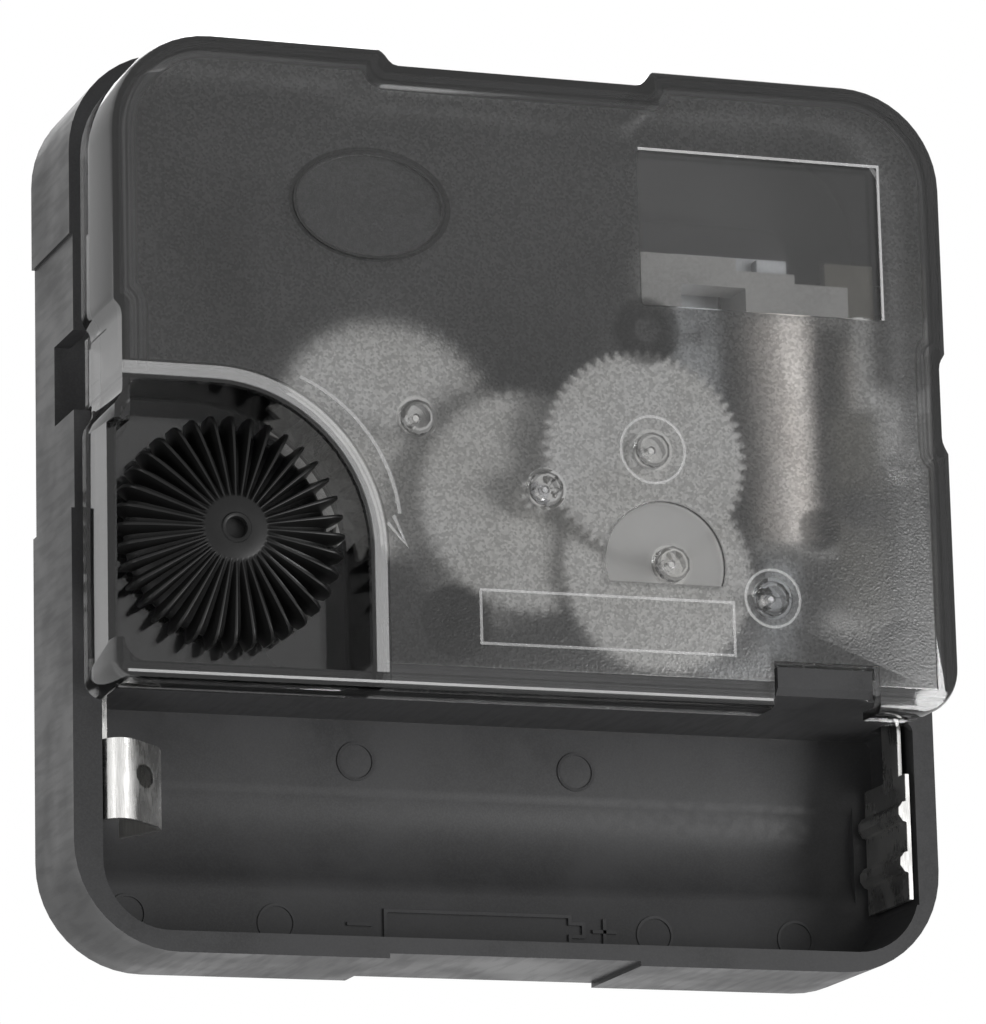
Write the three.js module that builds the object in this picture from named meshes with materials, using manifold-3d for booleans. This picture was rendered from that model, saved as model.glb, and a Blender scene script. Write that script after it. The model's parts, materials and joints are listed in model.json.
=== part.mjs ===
// Quartz clock movement, 56 mm square, for one AA cell.
//
// Every piece is laid out as the movement lies on its dial face: x to the right and y up as seen
// from behind, and z from the dial face (zero) towards the rear cover. The last group stands it
// upright, so that the shafts point along +Y and the rear cover faces -Y.
import * as THREE from 'three';
import { mergeVertices } from 'three/addons/utils/BufferGeometryUtils.js';
import Module from 'manifold-3d';

const wasm = await Module();
wasm.setup();

// Outer sizes, in millimetres.
const CASE_SIDE = 56;
const CASE_CORNER = 6.6;
const CASE_DEPTH = 8.9;
const MOVEMENT_DEPTH = 15.8;
const CASE_FLOOR = 1.2;
const CASE_WALL = 1.2;
const HALF = CASE_SIDE / 2;

// Clearances and overruns shared by all pieces.
const SEAT_GAP = 0.05;
const RUNNING_GAP = 0.1;
const LOOSE_GAP = 0.3;
const OVERRUN = 1;
const WELD = 0.2;
const MERGE_TOLERANCE = 0.0001;

// Battery bay for one AA cell lying on its side.
const CELL_DIAMETER = 14.5;
const CELL_GAP = 0.2;
const BAY_RIM_LEFT = 1.8;
const BAY_RIM_RIGHT = 1.4;
const BAY_RIM_BOTTOM = 1.3;
const BAY_LEDGE = 2;
const TROUGH_SKIN = 1.25;
const TROUGH_END_INSET = 1.4;
const PARTITION = 1.1;
const BAY_LEFT = -HALF + BAY_RIM_LEFT;
const BAY_RIGHT = HALF - BAY_RIM_RIGHT;
const BAY_BOTTOM = -HALF + BAY_RIM_BOTTOM;
const BAY_TOP = BAY_BOTTOM + CELL_DIAMETER + CELL_GAP;
const BAY_UPPER_CORNER = 0.6;
const BAY_LOWER_CORNER = 4.2;
const CHAMBER_BOTTOM = BAY_TOP + PARTITION;
const CHAMBER_LOWER_CORNER = 0.8;

// Shallow panels in the outer walls of the case.
const SIDE_PANEL_LOW = -1.1;
const SIDE_PANEL_HIGH = 16.1;
const SIDE_PANEL_DEPTH = 0.2;
const END_PANEL_LEFT = -8.3;
const END_PANEL_RIGHT = 7.9;
const END_PANEL_DEPTH = 0.3;

// Rear cover.
const COVER_INSET = 0.7;
const COVER_RIGHT_INSET = 1;
const COVER_PLATE = 1.2;
const COVER_WALL = 1;
const COVER_EDGE = 0.5;
const COVER_OVER_BAY = 0.9;
const COVER_BOTTOM = BAY_TOP - COVER_OVER_BAY;
const COVER_LIP = 2.9;
const COVER_LIP_WALL = 0.55;
const COVER_CORNER_TOP = 6.4;
const COVER_CORNER_LEFT = 1.2;
const COVER_CORNER_RIGHT = 3;
const COVER_HALF = HALF - COVER_INSET;
const COVER_RIGHT = HALF - COVER_RIGHT_INSET;
const COVER_LOW = CASE_DEPTH + SEAT_GAP;
const PLATE_LOW = MOVEMENT_DEPTH - COVER_PLATE;
const TOP_NOTCH_LEFT = -9.75;
const TOP_NOTCH_RIGHT = 7.4;
const TOP_NOTCH_DEPTH = 1.1;
const SIDE_NOTCH_LOW = 4;
const SIDE_NOTCH_HIGH = 10;
const SIDE_NOTCH_DEPTH = 0.6;
const NOTCH_SHOULDER = 0.8;

// Recesses and the plain oval rim on the rear face.
const WINDOW_WIDTH = 16.1;
const WINDOW_HEIGHT = 10;
const WINDOW_SIDE_MARGIN = 4.6;
const WINDOW_TOP_MARGIN = 5.2;
const WINDOW_RIGHT = COVER_HALF - WINDOW_SIDE_MARGIN;
const WINDOW_HIGH = COVER_HALF - WINDOW_TOP_MARGIN;
const RECESS_DEPTH = 0.25;
const EYE_RADIUS = 3.9;
const EYE_FLAT = 1.25;
const EYE_SHIFT = 0.45;
const OVAL_X = -10.95;
const OVAL_TOP_MARGIN = 10.1;
const OVAL_Y = COVER_HALF - OVAL_TOP_MARGIN;
const OVAL_HALF_WIDTH = 4.95;
const OVAL_HALF_HEIGHT = 3.45;
const OVAL_RIM = 0.35;
const OVAL_RISE = 0.15;

// Latches: a pocket in each side wall of the case for a tongue of the cover, and a bottom hook.
const POCKET_LOW = 5;
const POCKET_HIGH = 10;
const POCKET_FLOOR = 4.5;
const POCKET_DEPTH = 2.4;
const TONGUE_LENGTH = 1.4;
const TONGUE_THICKNESS = 0.8;
const TONGUE_ROOT = 2;
const HOOK_LEFT = 14.9;
const HOOK_RIGHT = 21.2;
const HOOK_SIDE_GAP = 0.35;
const HOOK_DROP = 0.35;
const HOOK_TOP = MOVEMENT_DEPTH - HOOK_DROP;
const HOOK_NOSE_LENGTH = 0.6;
const HOOK_NOSE_HEIGHT = 0.4;
const HOOK_LEDGE_HEIGHT = 0.35;
const HOOK_BEVEL = 0.45;
const HOOK_WINDOW_GAP = 0.3;
const HOOK_WINDOW_HIGH = CHAMBER_BOTTOM + HOOK_NOSE_LENGTH + HOOK_WINDOW_GAP;

// Axes of the wheels. The hands turn about the origin.
const MINUTE_X = -8.2;
const MINUTE_Y = 4;
const THIRD_X = 7;
const THIRD_Y = 2.85;
const INTERMEDIATE_X = 8.1;
const INTERMEDIATE_Y = -4.25;
const ROTOR_X = 14.6;
const ROTOR_Y = -6.1;
const KNOB_BEARING_DEG = 212.7;

// Teeth of the motion work and of the going train.
const CANNON_TEETH = 10;
const MINUTE_TEETH = 40;
const MINUTE_PINION_TEETH = 10;
const HOUR_TEETH = 30;
const SETTING_TEETH = 32;
const ROTOR_TEETH = 6;
const INTERMEDIATE_TEETH = 60;
const INTERMEDIATE_PINION_TEETH = 18;
const SECONDS_TEETH = 54;
const SECONDS_PINION_TEETH = 10;
const THIRD_TEETH = 60;
const THIRD_PINION_TEETH = 6;
const CENTRE_TEETH = 60;

// Tooth flanks from root to tip: height in modules from the pitch circle, half width in pitches.
const WHEEL_FLANK_SHARES = [[-1.8, 0.5], [1, 0.085]];
const PINION_FLANK_SHARES = [[-1.25, 0.2], [0, 0.19], [0.75, 0.06]];

// Heights above the dial face. The going train shares the room between the middle plate and the
// cover, each wheel at its own share of that room.
const WHEEL_THICKNESS = 0.6;
const HOUR_WHEEL_LOW = 1.7;
const HOUR_WHEEL_THICKNESS = 1;
const MINUTE_PINION_LOW = 1.6;
const MINUTE_PINION_HIGH = 3.9;
const PLATE_BOTTOM = 4.2;
const PLATE_TOP = 5.2;
const CENTRE_WHEEL_SHARE = 0.21;
const MINUTE_GEAR_SHARE = 0.43;
const SECONDS_WHEEL_SHARE = 0.65;
const INTERMEDIATE_WHEEL_SHARE = 0.75;
const THIRD_WHEEL_SHARE = 0.875;
const trainHeight = (share) => PLATE_TOP + share * (PLATE_LOW - PLATE_TOP);
const CENTRE_WHEEL_LOW = trainHeight(CENTRE_WHEEL_SHARE);
const MINUTE_GEAR_LOW = trainHeight(MINUTE_GEAR_SHARE);
const SECONDS_WHEEL_LOW = trainHeight(SECONDS_WHEEL_SHARE);
const INTERMEDIATE_WHEEL_LOW = trainHeight(INTERMEDIATE_WHEEL_SHARE);
const THIRD_WHEEL_LOW = trainHeight(THIRD_WHEEL_SHARE);
const CLUTCH_FLANGE = 0.4;
const SETTING_GEAR_DROP = 0.2;
const SETTING_GEAR_THICKNESS = 1;
const SETTING_GEAR_LOW = MINUTE_GEAR_LOW - SETTING_GEAR_DROP;
const SETTING_GEAR_TOP = SETTING_GEAR_LOW + SETTING_GEAR_THICKNESS;
const PINION_OVERLAP = 0.25;
const PIVOT_RISE = 0.6;
const PIVOT_TOP = PLATE_LOW + PIVOT_RISE;
const PIVOT_RADIUS = 0.22;
const MINUTE_PIVOT_RADIUS = 0.44;
const ARBOR_RADIUS = 0.3;
const PIVOT_SINK = 0.5;
const HUB_RADIUS = 1.3;
const HUB_RISE = 0.2;
const BUMP_RADIUS = 1.1;
const BUMP_RISE = 0.37;
const BUMP_SHARES = [[1, 0.4], [0.7, 1], [0.35, 1], [0, 0.6]];

// Hands end, in front of the dial face.
const BUSH_RADIUS = 4;
const BUSH_LENGTH = 7.5;
const BUSH_FLANGE_RADIUS = 5.2;
const BUSH_FLANGE = 0.8;
const BUSH_CHAMFER = 0.4;
const HOUR_TUBE_RADIUS = 2.55;
const HOUR_TUBE_END = 10.4;
const MINUTE_TUBE_RADIUS = 1.75;
const MINUTE_TUBE_END = 13.6;
const MINUTE_TUBE_FLAT = 1.45;
const MINUTE_TUBE_FLAT_LENGTH = 2.2;
const SECONDS_ARBOR_RADIUS = 0.5;
const SECONDS_ARBOR_END = 17.2;

// Hand-setting knob and its well.
const KNOB_RADIUS = 7.2;
const KNOB_RIBS = 36;
const KNOB_DROP = 1.5;
const KNOB_TOP = MOVEMENT_DEPTH - KNOB_DROP;
const KNOB_HUB_RADIUS = 2;
const KNOB_EYE_RADIUS = 0.68;
const KNOB_EYE_RIM = 0.25;
const KNOB_EYE_RISE = 0.1;
const KNOB_ROOF = 0.5;
const KNOB_LIFT = 0.4;
const KNOB_STEM_RADIUS = 1.2;
const KNOB_PIVOT_RADIUS = 0.9;
const KNOB_BOSS_RADIUS = 1.8;
const KNOB_BOSS_TOP = 3.2;
const KNOB_CREST_SHARES = [[0, 0], [0.88, 0.14], [1, 0.46], [1, 1]];
const KNOB_VALLEY_SHARES = [[0, 0.08], [0.74, 0.62], [0.84, 0.85], [0.84, 1]];
const KNOB_RIB_SHARES = [-0.1, 0.1, 0.5];
const WELL_FLOOR = 0.9;
const WELL_FLOOR_LOW = SETTING_GEAR_TOP + LOOSE_GAP;
const WELL_FLOOR_TOP = WELL_FLOOR_LOW + WELL_FLOOR;
const WELL_WALL = 0.9;
const WELL_RIGHT = -11.3;
const WELL_HIGH = 5.4;
const WELL_PARAPET = 0.6;
const WELL_LOWER_WALL = 0.6;
const WELL_ARC = 9.7;
const WELL_CORNER = 1.4;
const WELL_LOW = COVER_BOTTOM + COVER_WALL + SEAT_GAP;
const PARAPET_TOP = KNOB_TOP + SEAT_GAP;
const PARAPET_HIGH = 2.9;
const PARAPET_LUG = 1.2;

// Pillars of the case, which locate the middle plate and the cover.
const PILLAR_A_X = 6.95;
const PILLAR_A_Y = 10.5;
const PILLAR_A_RADIUS = 2.1;
const PILLAR_A_DROP = 0.5;
const PILLAR_A_TOP = THIRD_WHEEL_LOW - PILLAR_A_DROP;
const PILLAR_A_PIN = 0.6;
const PILLAR_B_INSET = 4.5;
const PILLAR_B_RISE = 2.3;
const PILLAR_B_X = HALF - PILLAR_B_INSET;
const PILLAR_B_Y = CHAMBER_BOTTOM + PILLAR_B_RISE;
const PILLAR_B_RADIUS = 1.8;
const PILLAR_C_X = -5.9;
const PILLAR_C_RISE = 2.4;
const PILLAR_C_Y = CHAMBER_BOTTOM + PILLAR_C_RISE;
const PILLAR_C_RADIUS = 2.3;
const PILLAR_EYE = 0.6;
const PILLAR_EYE_DEPTH = 3;

// Oscillator board, along the right wall.
const BOARD_WIDTH = 3.3;
const BOARD_WALL_GAP = 1.2;
const BOARD_RIGHT = HALF - CASE_WALL - BOARD_WALL_GAP;
const BOARD_LEFT = BOARD_RIGHT - BOARD_WIDTH;
const BOARD_RISE = 4.7;
const BOARD_TOP_GAP = 10;
const BOARD_LOW = CHAMBER_BOTTOM + BOARD_RISE;
const BOARD_HIGH = HALF - BOARD_TOP_GAP;
const BOARD_DROP = 2.4;
const BOARD_BASE = CASE_DEPTH - BOARD_DROP;
const BOARD_THICKNESS = 0.8;
const BOARD_REST = 2;
const CHIP_RADIUS = 1.45;
const CHIP_RISE = 0.8;
const CHIP_SHARES = [[1, 0], [0.92, 0.45], [0.6, 0.9], [0, 1]];
const CHIP_Y = 2;
const CRYSTAL_RADIUS = 1;
const CRYSTAL_LENGTH = 6;
const CRYSTAL_Y = 8;

// Middle plate.
const MIDDLE_LEFT = -15;
const MIDDLE_BOARD_GAP = 1.5;
const MIDDLE_LOW_GAP = 1;
const MIDDLE_TOP_GAP = 7.4;
const MIDDLE_RIGHT = BOARD_LEFT - MIDDLE_BOARD_GAP;
const MIDDLE_LOW = CHAMBER_BOTTOM + MIDDLE_LOW_GAP;
const MIDDLE_HIGH = HALF - MIDDLE_TOP_GAP;
const MIDDLE_CORNER = 2;
const FOOT_RADIUS = 1.5;
const FOOT_INSET = 1.8;
const STUD_RADIUS = 1.2;
const STUD_PIN_RADIUS = 0.6;
const STUD_PIN_RISE = 0.35;

// Stepping motor.
const STATOR_SHARE = 0.25;
const STATOR_LOW = trainHeight(STATOR_SHARE);
const STATOR_THICKNESS = 0.85;
const STATOR_ARM = 3;
const STATOR_EYE = 2.3;
const STATOR_RING = 1.1;
const MAGNET_RADIUS = 1.9;
const MAGNET_DROP = 0.55;
const MAGNET_LOW = STATOR_LOW - MAGNET_DROP;
const MAGNET_LENGTH = 2;
const COIL_BOARD_GAP = 4.5;
const COIL_X = BOARD_LEFT - COIL_BOARD_GAP;
const COIL_LOW = -2.4;
const COIL_TOP_GAP = 12.8;
const COIL_HIGH = HALF - COIL_TOP_GAP;
const COIL_RADIUS = 2.75;
const BOBBIN_TUBE = 1.5;
const BOBBIN_FLANGE = 0.8;
const BOBBIN_HEAD = 2;
const BOBBIN_HEAD_LEFT = 8;
const BOBBIN_HEAD_RIGHT = BOARD_LEFT - LOOSE_GAP;
const BOBBIN_HEAD_RISE = 1.65;
const BOBBIN_HEAD_LOW = STATOR_LOW + BOBBIN_HEAD_RISE;
const BOBBIN_LEG = 2.7;
const BOBBIN_LEG_RISE = 1.4;
const BOBBIN_ARCH = 1.5;
const BOBBIN_STEP = 0.6;
const CORE_WIDTH = 2;
const CORE_THICKNESS = 0.9;
const CORE_OVERHANG = 2.1;
const CORE_LOW = STATOR_LOW + STATOR_THICKNESS + SEAT_GAP;
const COIL_Z = CORE_LOW + CORE_THICKNESS / 2;

// Battery contacts, bent from strip.
const STRIP = 0.3;
const STRIP_WALL_GAP = 0.1;
const STRIP_LOW = 5.5;
const CONTACT_LOW = 2.4;
const CONTACT_RISE = 0.1;
const CONTACT_TOP = CASE_DEPTH + CONTACT_RISE;
const LEAF_DROP = 3.2;
const LEAF_HIGH = BAY_TOP - LEAF_DROP;
const LEAF_WIDTH = 4.9;
const LEAF_REACH = 4.1;
const LEAF_KNEE_Z = 5.9;
const LEAF_CREST = 1.3;
const LEAF_BEND = 0.45;
const LEAF_BEND_STEPS = 10;
const LEAF_TAIL_BACK = 1.5;
const LEAF_HOLE_RADIUS = 0.75;
const LEAF_HOLE_SHARE = 0.42;
const RAIL_LOW = 1.7;
const RAIL_HEIGHT = 2.2;
const RAIL_BOARD_GAP = 0.9;
const RAIL_RIGHT = BOARD_LEFT - RAIL_BOARD_GAP;
const FINGER_WIDTH = 1;
const FINGER_REACH = 1.2;
const FINGER_TOP = BOARD_BASE + BOARD_THICKNESS + SEAT_GAP + STRIP;
const PLATE_CONTACT_DROP = 3.3;
const PLATE_CONTACT_WIDTH = 8;
const PLATE_CONTACT_HIGH = BAY_TOP - PLATE_CONTACT_DROP;
const PLATE_CONTACT_LOW = PLATE_CONTACT_HIGH - PLATE_CONTACT_WIDTH;
const PLATE_NECK_DROP = 0.9;
const PLATE_NECK_WIDTH = 2.5;
const PLATE_NECK_TOP = CASE_DEPTH - PLATE_NECK_DROP;
const PLATE_NECK_LOW = PLATE_NECK_TOP - PLATE_NECK_WIDTH;
const RIB_RADIUS = 0.75;
const RIB_RISE = 0.55;
const RIB_SHARES = [0.3, 0.7];

// Facets round a full turn, by size of the round form.
const FINE = 36;
const MEDIUM = 18;
const COARSE = 10;
const CORNER = 6;

// Closed three.js geometry to a solid that can be joined and cut.
function toSolid(geometry) {
  const bare = geometry.clone();
  bare.deleteAttribute('normal');
  bare.deleteAttribute('uv');
  const merged = mergeVertices(bare, MERGE_TOLERANCE);
  const index = merged.index.array;
  const triVerts = [];
  for (let i = 0; i < index.length; i += 3) {
    const [a, b, c] = [index[i], index[i + 1], index[i + 2]];
    if (a !== b && b !== c && a !== c) {
      triVerts.push(a, b, c);
    }
  }
  return new wasm.Manifold(new wasm.Mesh({
    numProp: 3,
    vertProperties: new Float32Array(merged.attributes.position.array),
    triVerts: new Uint32Array(triVerts),
  }));
}

function toGeometry(solid) {
  const mesh = solid.getMesh();
  const geometry = new THREE.BufferGeometry();
  geometry.setAttribute('position', new THREE.BufferAttribute(new Float32Array(mesh.vertProperties), 3));
  geometry.setIndex(new THREE.BufferAttribute(new Uint32Array(mesh.triVerts), 1));
  const flat = geometry.toNonIndexed();
  flat.computeVertexNormals();
  return flat;
}

function join(...solids) {
  return solids.reduce((all, next) => all.add(next));
}

function cut(solid, ...tools) {
  return tools.reduce((left, tool) => left.subtract(tool), solid);
}

// Straight prism of a flat outline, standing on z = low.
function prism(outline, low, high, curveSegments = CORNER) {
  const geometry = new THREE.ExtrudeGeometry(outline, {
    depth: high - low,
    bevelEnabled: false,
    curveSegments,
  });
  return toSolid(geometry.translate(0, 0, low));
}

// Prism of an outline drawn in x and z, running along y.
function prismAlongY(outline, near, far, curveSegments = CORNER) {
  const geometry = new THREE.ExtrudeGeometry(outline, {
    depth: far - near,
    bevelEnabled: false,
    curveSegments,
  });
  return toSolid(geometry.rotateX(Math.PI / 2).translate(0, far, 0));
}

// Prism of an outline drawn in y and z, running along x.
function prismAlongX(outline, left, right) {
  const geometry = new THREE.ExtrudeGeometry(outline, { depth: right - left, bevelEnabled: false });
  const toX = new THREE.Matrix4().makeBasis(
    new THREE.Vector3(0, 1, 0), new THREE.Vector3(0, 0, 1), new THREE.Vector3(1, 0, 0),
  );
  return toSolid(geometry.applyMatrix4(toX).translate(left, 0, 0));
}

function block(left, right, near, far, low, high) {
  const geometry = new THREE.BoxGeometry(right - left, far - near, high - low);
  return toSolid(geometry.translate((left + right) / 2, (near + far) / 2, (low + high) / 2));
}

function rod(x, y, radius, low, high, facets = MEDIUM) {
  const geometry = new THREE.CylinderGeometry(radius, radius, high - low, facets);
  return toSolid(geometry.rotateX(Math.PI / 2).translate(x, y, (low + high) / 2));
}

// Body of revolution about z. The profile lists [radius, height] anticlockwise, and closes itself.
function turned(profile, facets = MEDIUM) {
  const points = profile.map(([radius, height]) => new THREE.Vector2(radius, height));
  points.push(points[0].clone());
  return toSolid(new THREE.LatheGeometry(points, facets).rotateX(Math.PI / 2));
}

// Rectangle with its own radius at each corner: lower left, lower right, upper right, upper left.
function roundedOutline(left, right, low, high, [lowerLeft, lowerRight, upperRight, upperLeft]) {
  const shape = new THREE.Shape();
  shape.moveTo(left + lowerLeft, low);
  shape.absarc(right - lowerRight, low + lowerRight, lowerRight, -Math.PI / 2, 0, false);
  shape.absarc(right - upperRight, high - upperRight, upperRight, 0, Math.PI / 2, false);
  shape.absarc(left + upperLeft, high - upperLeft, upperLeft, Math.PI / 2, Math.PI, false);
  shape.absarc(left + lowerLeft, low + lowerLeft, lowerLeft, Math.PI, Math.PI * 3 / 2, false);
  return shape;
}

// Band of even thickness along a bent line, to be extruded.
function stripOutline(points, thickness) {
  const normals = points.slice(1).map((point, i) => {
    const along = point.clone().sub(points[i]).normalize();
    return new THREE.Vector2(-along.y, along.x);
  });
  const offset = (side) => points.map((point, i) => {
    const before = normals[Math.max(i - 1, 0)];
    const after = normals[Math.min(i, normals.length - 1)];
    const miter = before.clone().add(after).normalize();
    return point.clone().addScaledVector(miter, side * thickness / 2 / miter.dot(after));
  });
  return new THREE.Shape([...offset(-1), ...offset(1).reverse()]);
}

// Toothed outline about the origin, with a tooth centred on the x axis. Flanks that start half a
// pitch out meet in one point between two teeth.
function gearOutline(teeth, pitchRadius, flankShares) {
  const module = 2 * pitchRadius / teeth;
  const pitch = 2 * Math.PI / teeth;
  const points = [];
  for (let tooth = 0; tooth < teeth; tooth += 1) {
    const rising = flankShares.map(([height, half]) => [pitchRadius + height * module, -half * pitch]);
    const falling = rising.map(([radius, angle]) => [radius, -angle]).reverse();
    const met = flankShares[0][1] === 1 / 2;
    for (const [radius, angle] of [...rising.slice(met ? 1 : 0), ...falling]) {
      const turn = tooth * pitch + angle;
      points.push(new THREE.Vector2(radius * Math.cos(turn), radius * Math.sin(turn)));
    }
  }
  return new THREE.Shape(points);
}

function wheel(teeth, radius, low, high) {
  return prism(gearOutline(teeth, radius, WHEEL_FLANK_SHARES), low, high);
}

function pinion(teeth, radius, low, high) {
  return prism(gearOutline(teeth, radius, PINION_FLANK_SHARES), low, high);
}

// Pitch radii of two wheels in mesh at a given distance.
function pitchRadii(distance, teeth, otherTeeth) {
  const share = teeth / (teeth + otherTeeth);
  return [distance * share, distance * (1 - share)];
}

// Rest angle of a wheel that meshes with one whose tooth stands at the given angle.
function meshAngle(from, angle, teeth, to, otherTeeth) {
  const line = Math.atan2(to.y - from.y, to.x - from.x);
  const phase = (angle - line) * teeth / (2 * Math.PI);
  return line + Math.PI + (2 * Math.PI / otherTeeth) * (0.5 - phase);
}

const centreAxis = new THREE.Vector2(0, 0);
const minuteAxis = new THREE.Vector2(MINUTE_X, MINUTE_Y);
const thirdAxis = new THREE.Vector2(THIRD_X, THIRD_Y);
const intermediateAxis = new THREE.Vector2(INTERMEDIATE_X, INTERMEDIATE_Y);
const rotorAxis = new THREE.Vector2(ROTOR_X, ROTOR_Y);

const [cannonPitch, minutePitch] = pitchRadii(minuteAxis.length(), CANNON_TEETH, MINUTE_TEETH);
const [hourPitch, minutePinionPitch] = pitchRadii(minuteAxis.length(), HOUR_TEETH, MINUTE_PINION_TEETH);
const settingPitch = minutePitch * SETTING_TEETH / MINUTE_TEETH;
const knobBearing = THREE.MathUtils.degToRad(KNOB_BEARING_DEG);
const knobAxis = minuteAxis.clone().add(
  new THREE.Vector2(Math.cos(knobBearing), Math.sin(knobBearing)).multiplyScalar(minutePitch + settingPitch),
);
const [rotorPitch, intermediatePitch] = pitchRadii(
  rotorAxis.distanceTo(intermediateAxis), ROTOR_TEETH, INTERMEDIATE_TEETH,
);
const [secondsPitch, intermediatePinionPitch] = pitchRadii(
  intermediateAxis.length(), SECONDS_TEETH, INTERMEDIATE_PINION_TEETH,
);
const [secondsPinionPitch, thirdPitch] = pitchRadii(thirdAxis.length(), SECONDS_PINION_TEETH, THIRD_TEETH);
const [centrePitch, thirdPinionPitch] = pitchRadii(thirdAxis.length(), CENTRE_TEETH, THIRD_PINION_TEETH);

// Rest angles: each wheel takes its angle from the one that drives it.
const settingAngle = 0;
const minuteAngle = meshAngle(knobAxis, settingAngle, SETTING_TEETH, minuteAxis, MINUTE_TEETH);
const cannonAngle = meshAngle(minuteAxis, minuteAngle, MINUTE_TEETH, centreAxis, CANNON_TEETH);
const hourAngle = meshAngle(minuteAxis, minuteAngle, MINUTE_PINION_TEETH, centreAxis, HOUR_TEETH);
const rotorAngle = 0;
const intermediateAngle = meshAngle(rotorAxis, rotorAngle, ROTOR_TEETH, intermediateAxis, INTERMEDIATE_TEETH);
const secondsAngle = meshAngle(
  intermediateAxis, intermediateAngle, INTERMEDIATE_PINION_TEETH, centreAxis, SECONDS_TEETH,
);
const thirdAngle = meshAngle(centreAxis, secondsAngle, SECONDS_PINION_TEETH, thirdAxis, THIRD_TEETH);
const centreAngle = meshAngle(thirdAxis, thirdAngle, THIRD_PINION_TEETH, centreAxis, CENTRE_TEETH);

const plastic = (color, roughness) => ({ color, roughness, metalness: 0 });
const metal = (color, roughness) => ({ color, roughness, metalness: 1 });
const FINISHES = {
  case: plastic(0x2b2b2c, 0.6),
  cover: { ...plastic(0x6d6d6d, 0.35), transparent: true, opacity: 0.55 },
  knob: plastic(0x161616, 0.45),
  gear: plastic(0xe4e2dc, 0.5),
  inner: plastic(0x343435, 0.65),
  brass: metal(0xb99b52, 0.35),
  steel: metal(0xb8babd, 0.3),
  nickel: metal(0xc9cacb, 0.28),
  iron: metal(0x8b8d90, 0.45),
  magnet: metal(0x3d3f42, 0.5),
  bobbin: plastic(0xe9e7e0, 0.5),
  wire: metal(0xb0714c, 0.4),
  board: plastic(0x6f6a4c, 0.6),
  epoxy: plastic(0x0e0e0f, 0.3),
};

const movement = new THREE.Group();

function addPiece(name, finish, solid, axis = centreAxis, angle = 0) {
  const material = new THREE.MeshStandardMaterial(FINISHES[finish]);
  const mesh = new THREE.Mesh(toGeometry(solid), material);
  mesh.name = name;
  mesh.position.set(axis.x, axis.y, 0);
  mesh.rotation.z = angle;
  movement.add(mesh);
}

// Block in or on a side wall, between two distances from the middle of the movement.
function sideBlock(side, inner, outer, near, far, low, high) {
  const [left, right] = [side * inner, side * outer].sort((a, b) => a - b);
  return block(left, right, near, far, low, high);
}

function bayAndTrough() {
  const outline = (low, high) => prism(
    roundedOutline(BAY_LEFT, BAY_RIGHT, BAY_BOTTOM, BAY_TOP, [
      BAY_LOWER_CORNER, BAY_LOWER_CORNER, BAY_UPPER_CORNER, BAY_UPPER_CORNER,
    ]),
    low,
    high,
  );
  const bay = outline(BAY_LEDGE, MOVEMENT_DEPTH + OVERRUN);
  const radius = (CELL_DIAMETER + CELL_GAP) / 2;
  const left = BAY_LEFT + TROUGH_END_INSET;
  const right = BAY_RIGHT - TROUGH_END_INSET;
  const roll = new THREE.CylinderGeometry(radius, radius, right - left, FINE).rotateZ(Math.PI / 2);
  roll.translate((left + right) / 2, (BAY_TOP + BAY_BOTTOM) / 2, TROUGH_SKIN + radius);
  return [bay, toSolid(roll).intersect(outline(0, TROUGH_SKIN + radius))];
}

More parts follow.
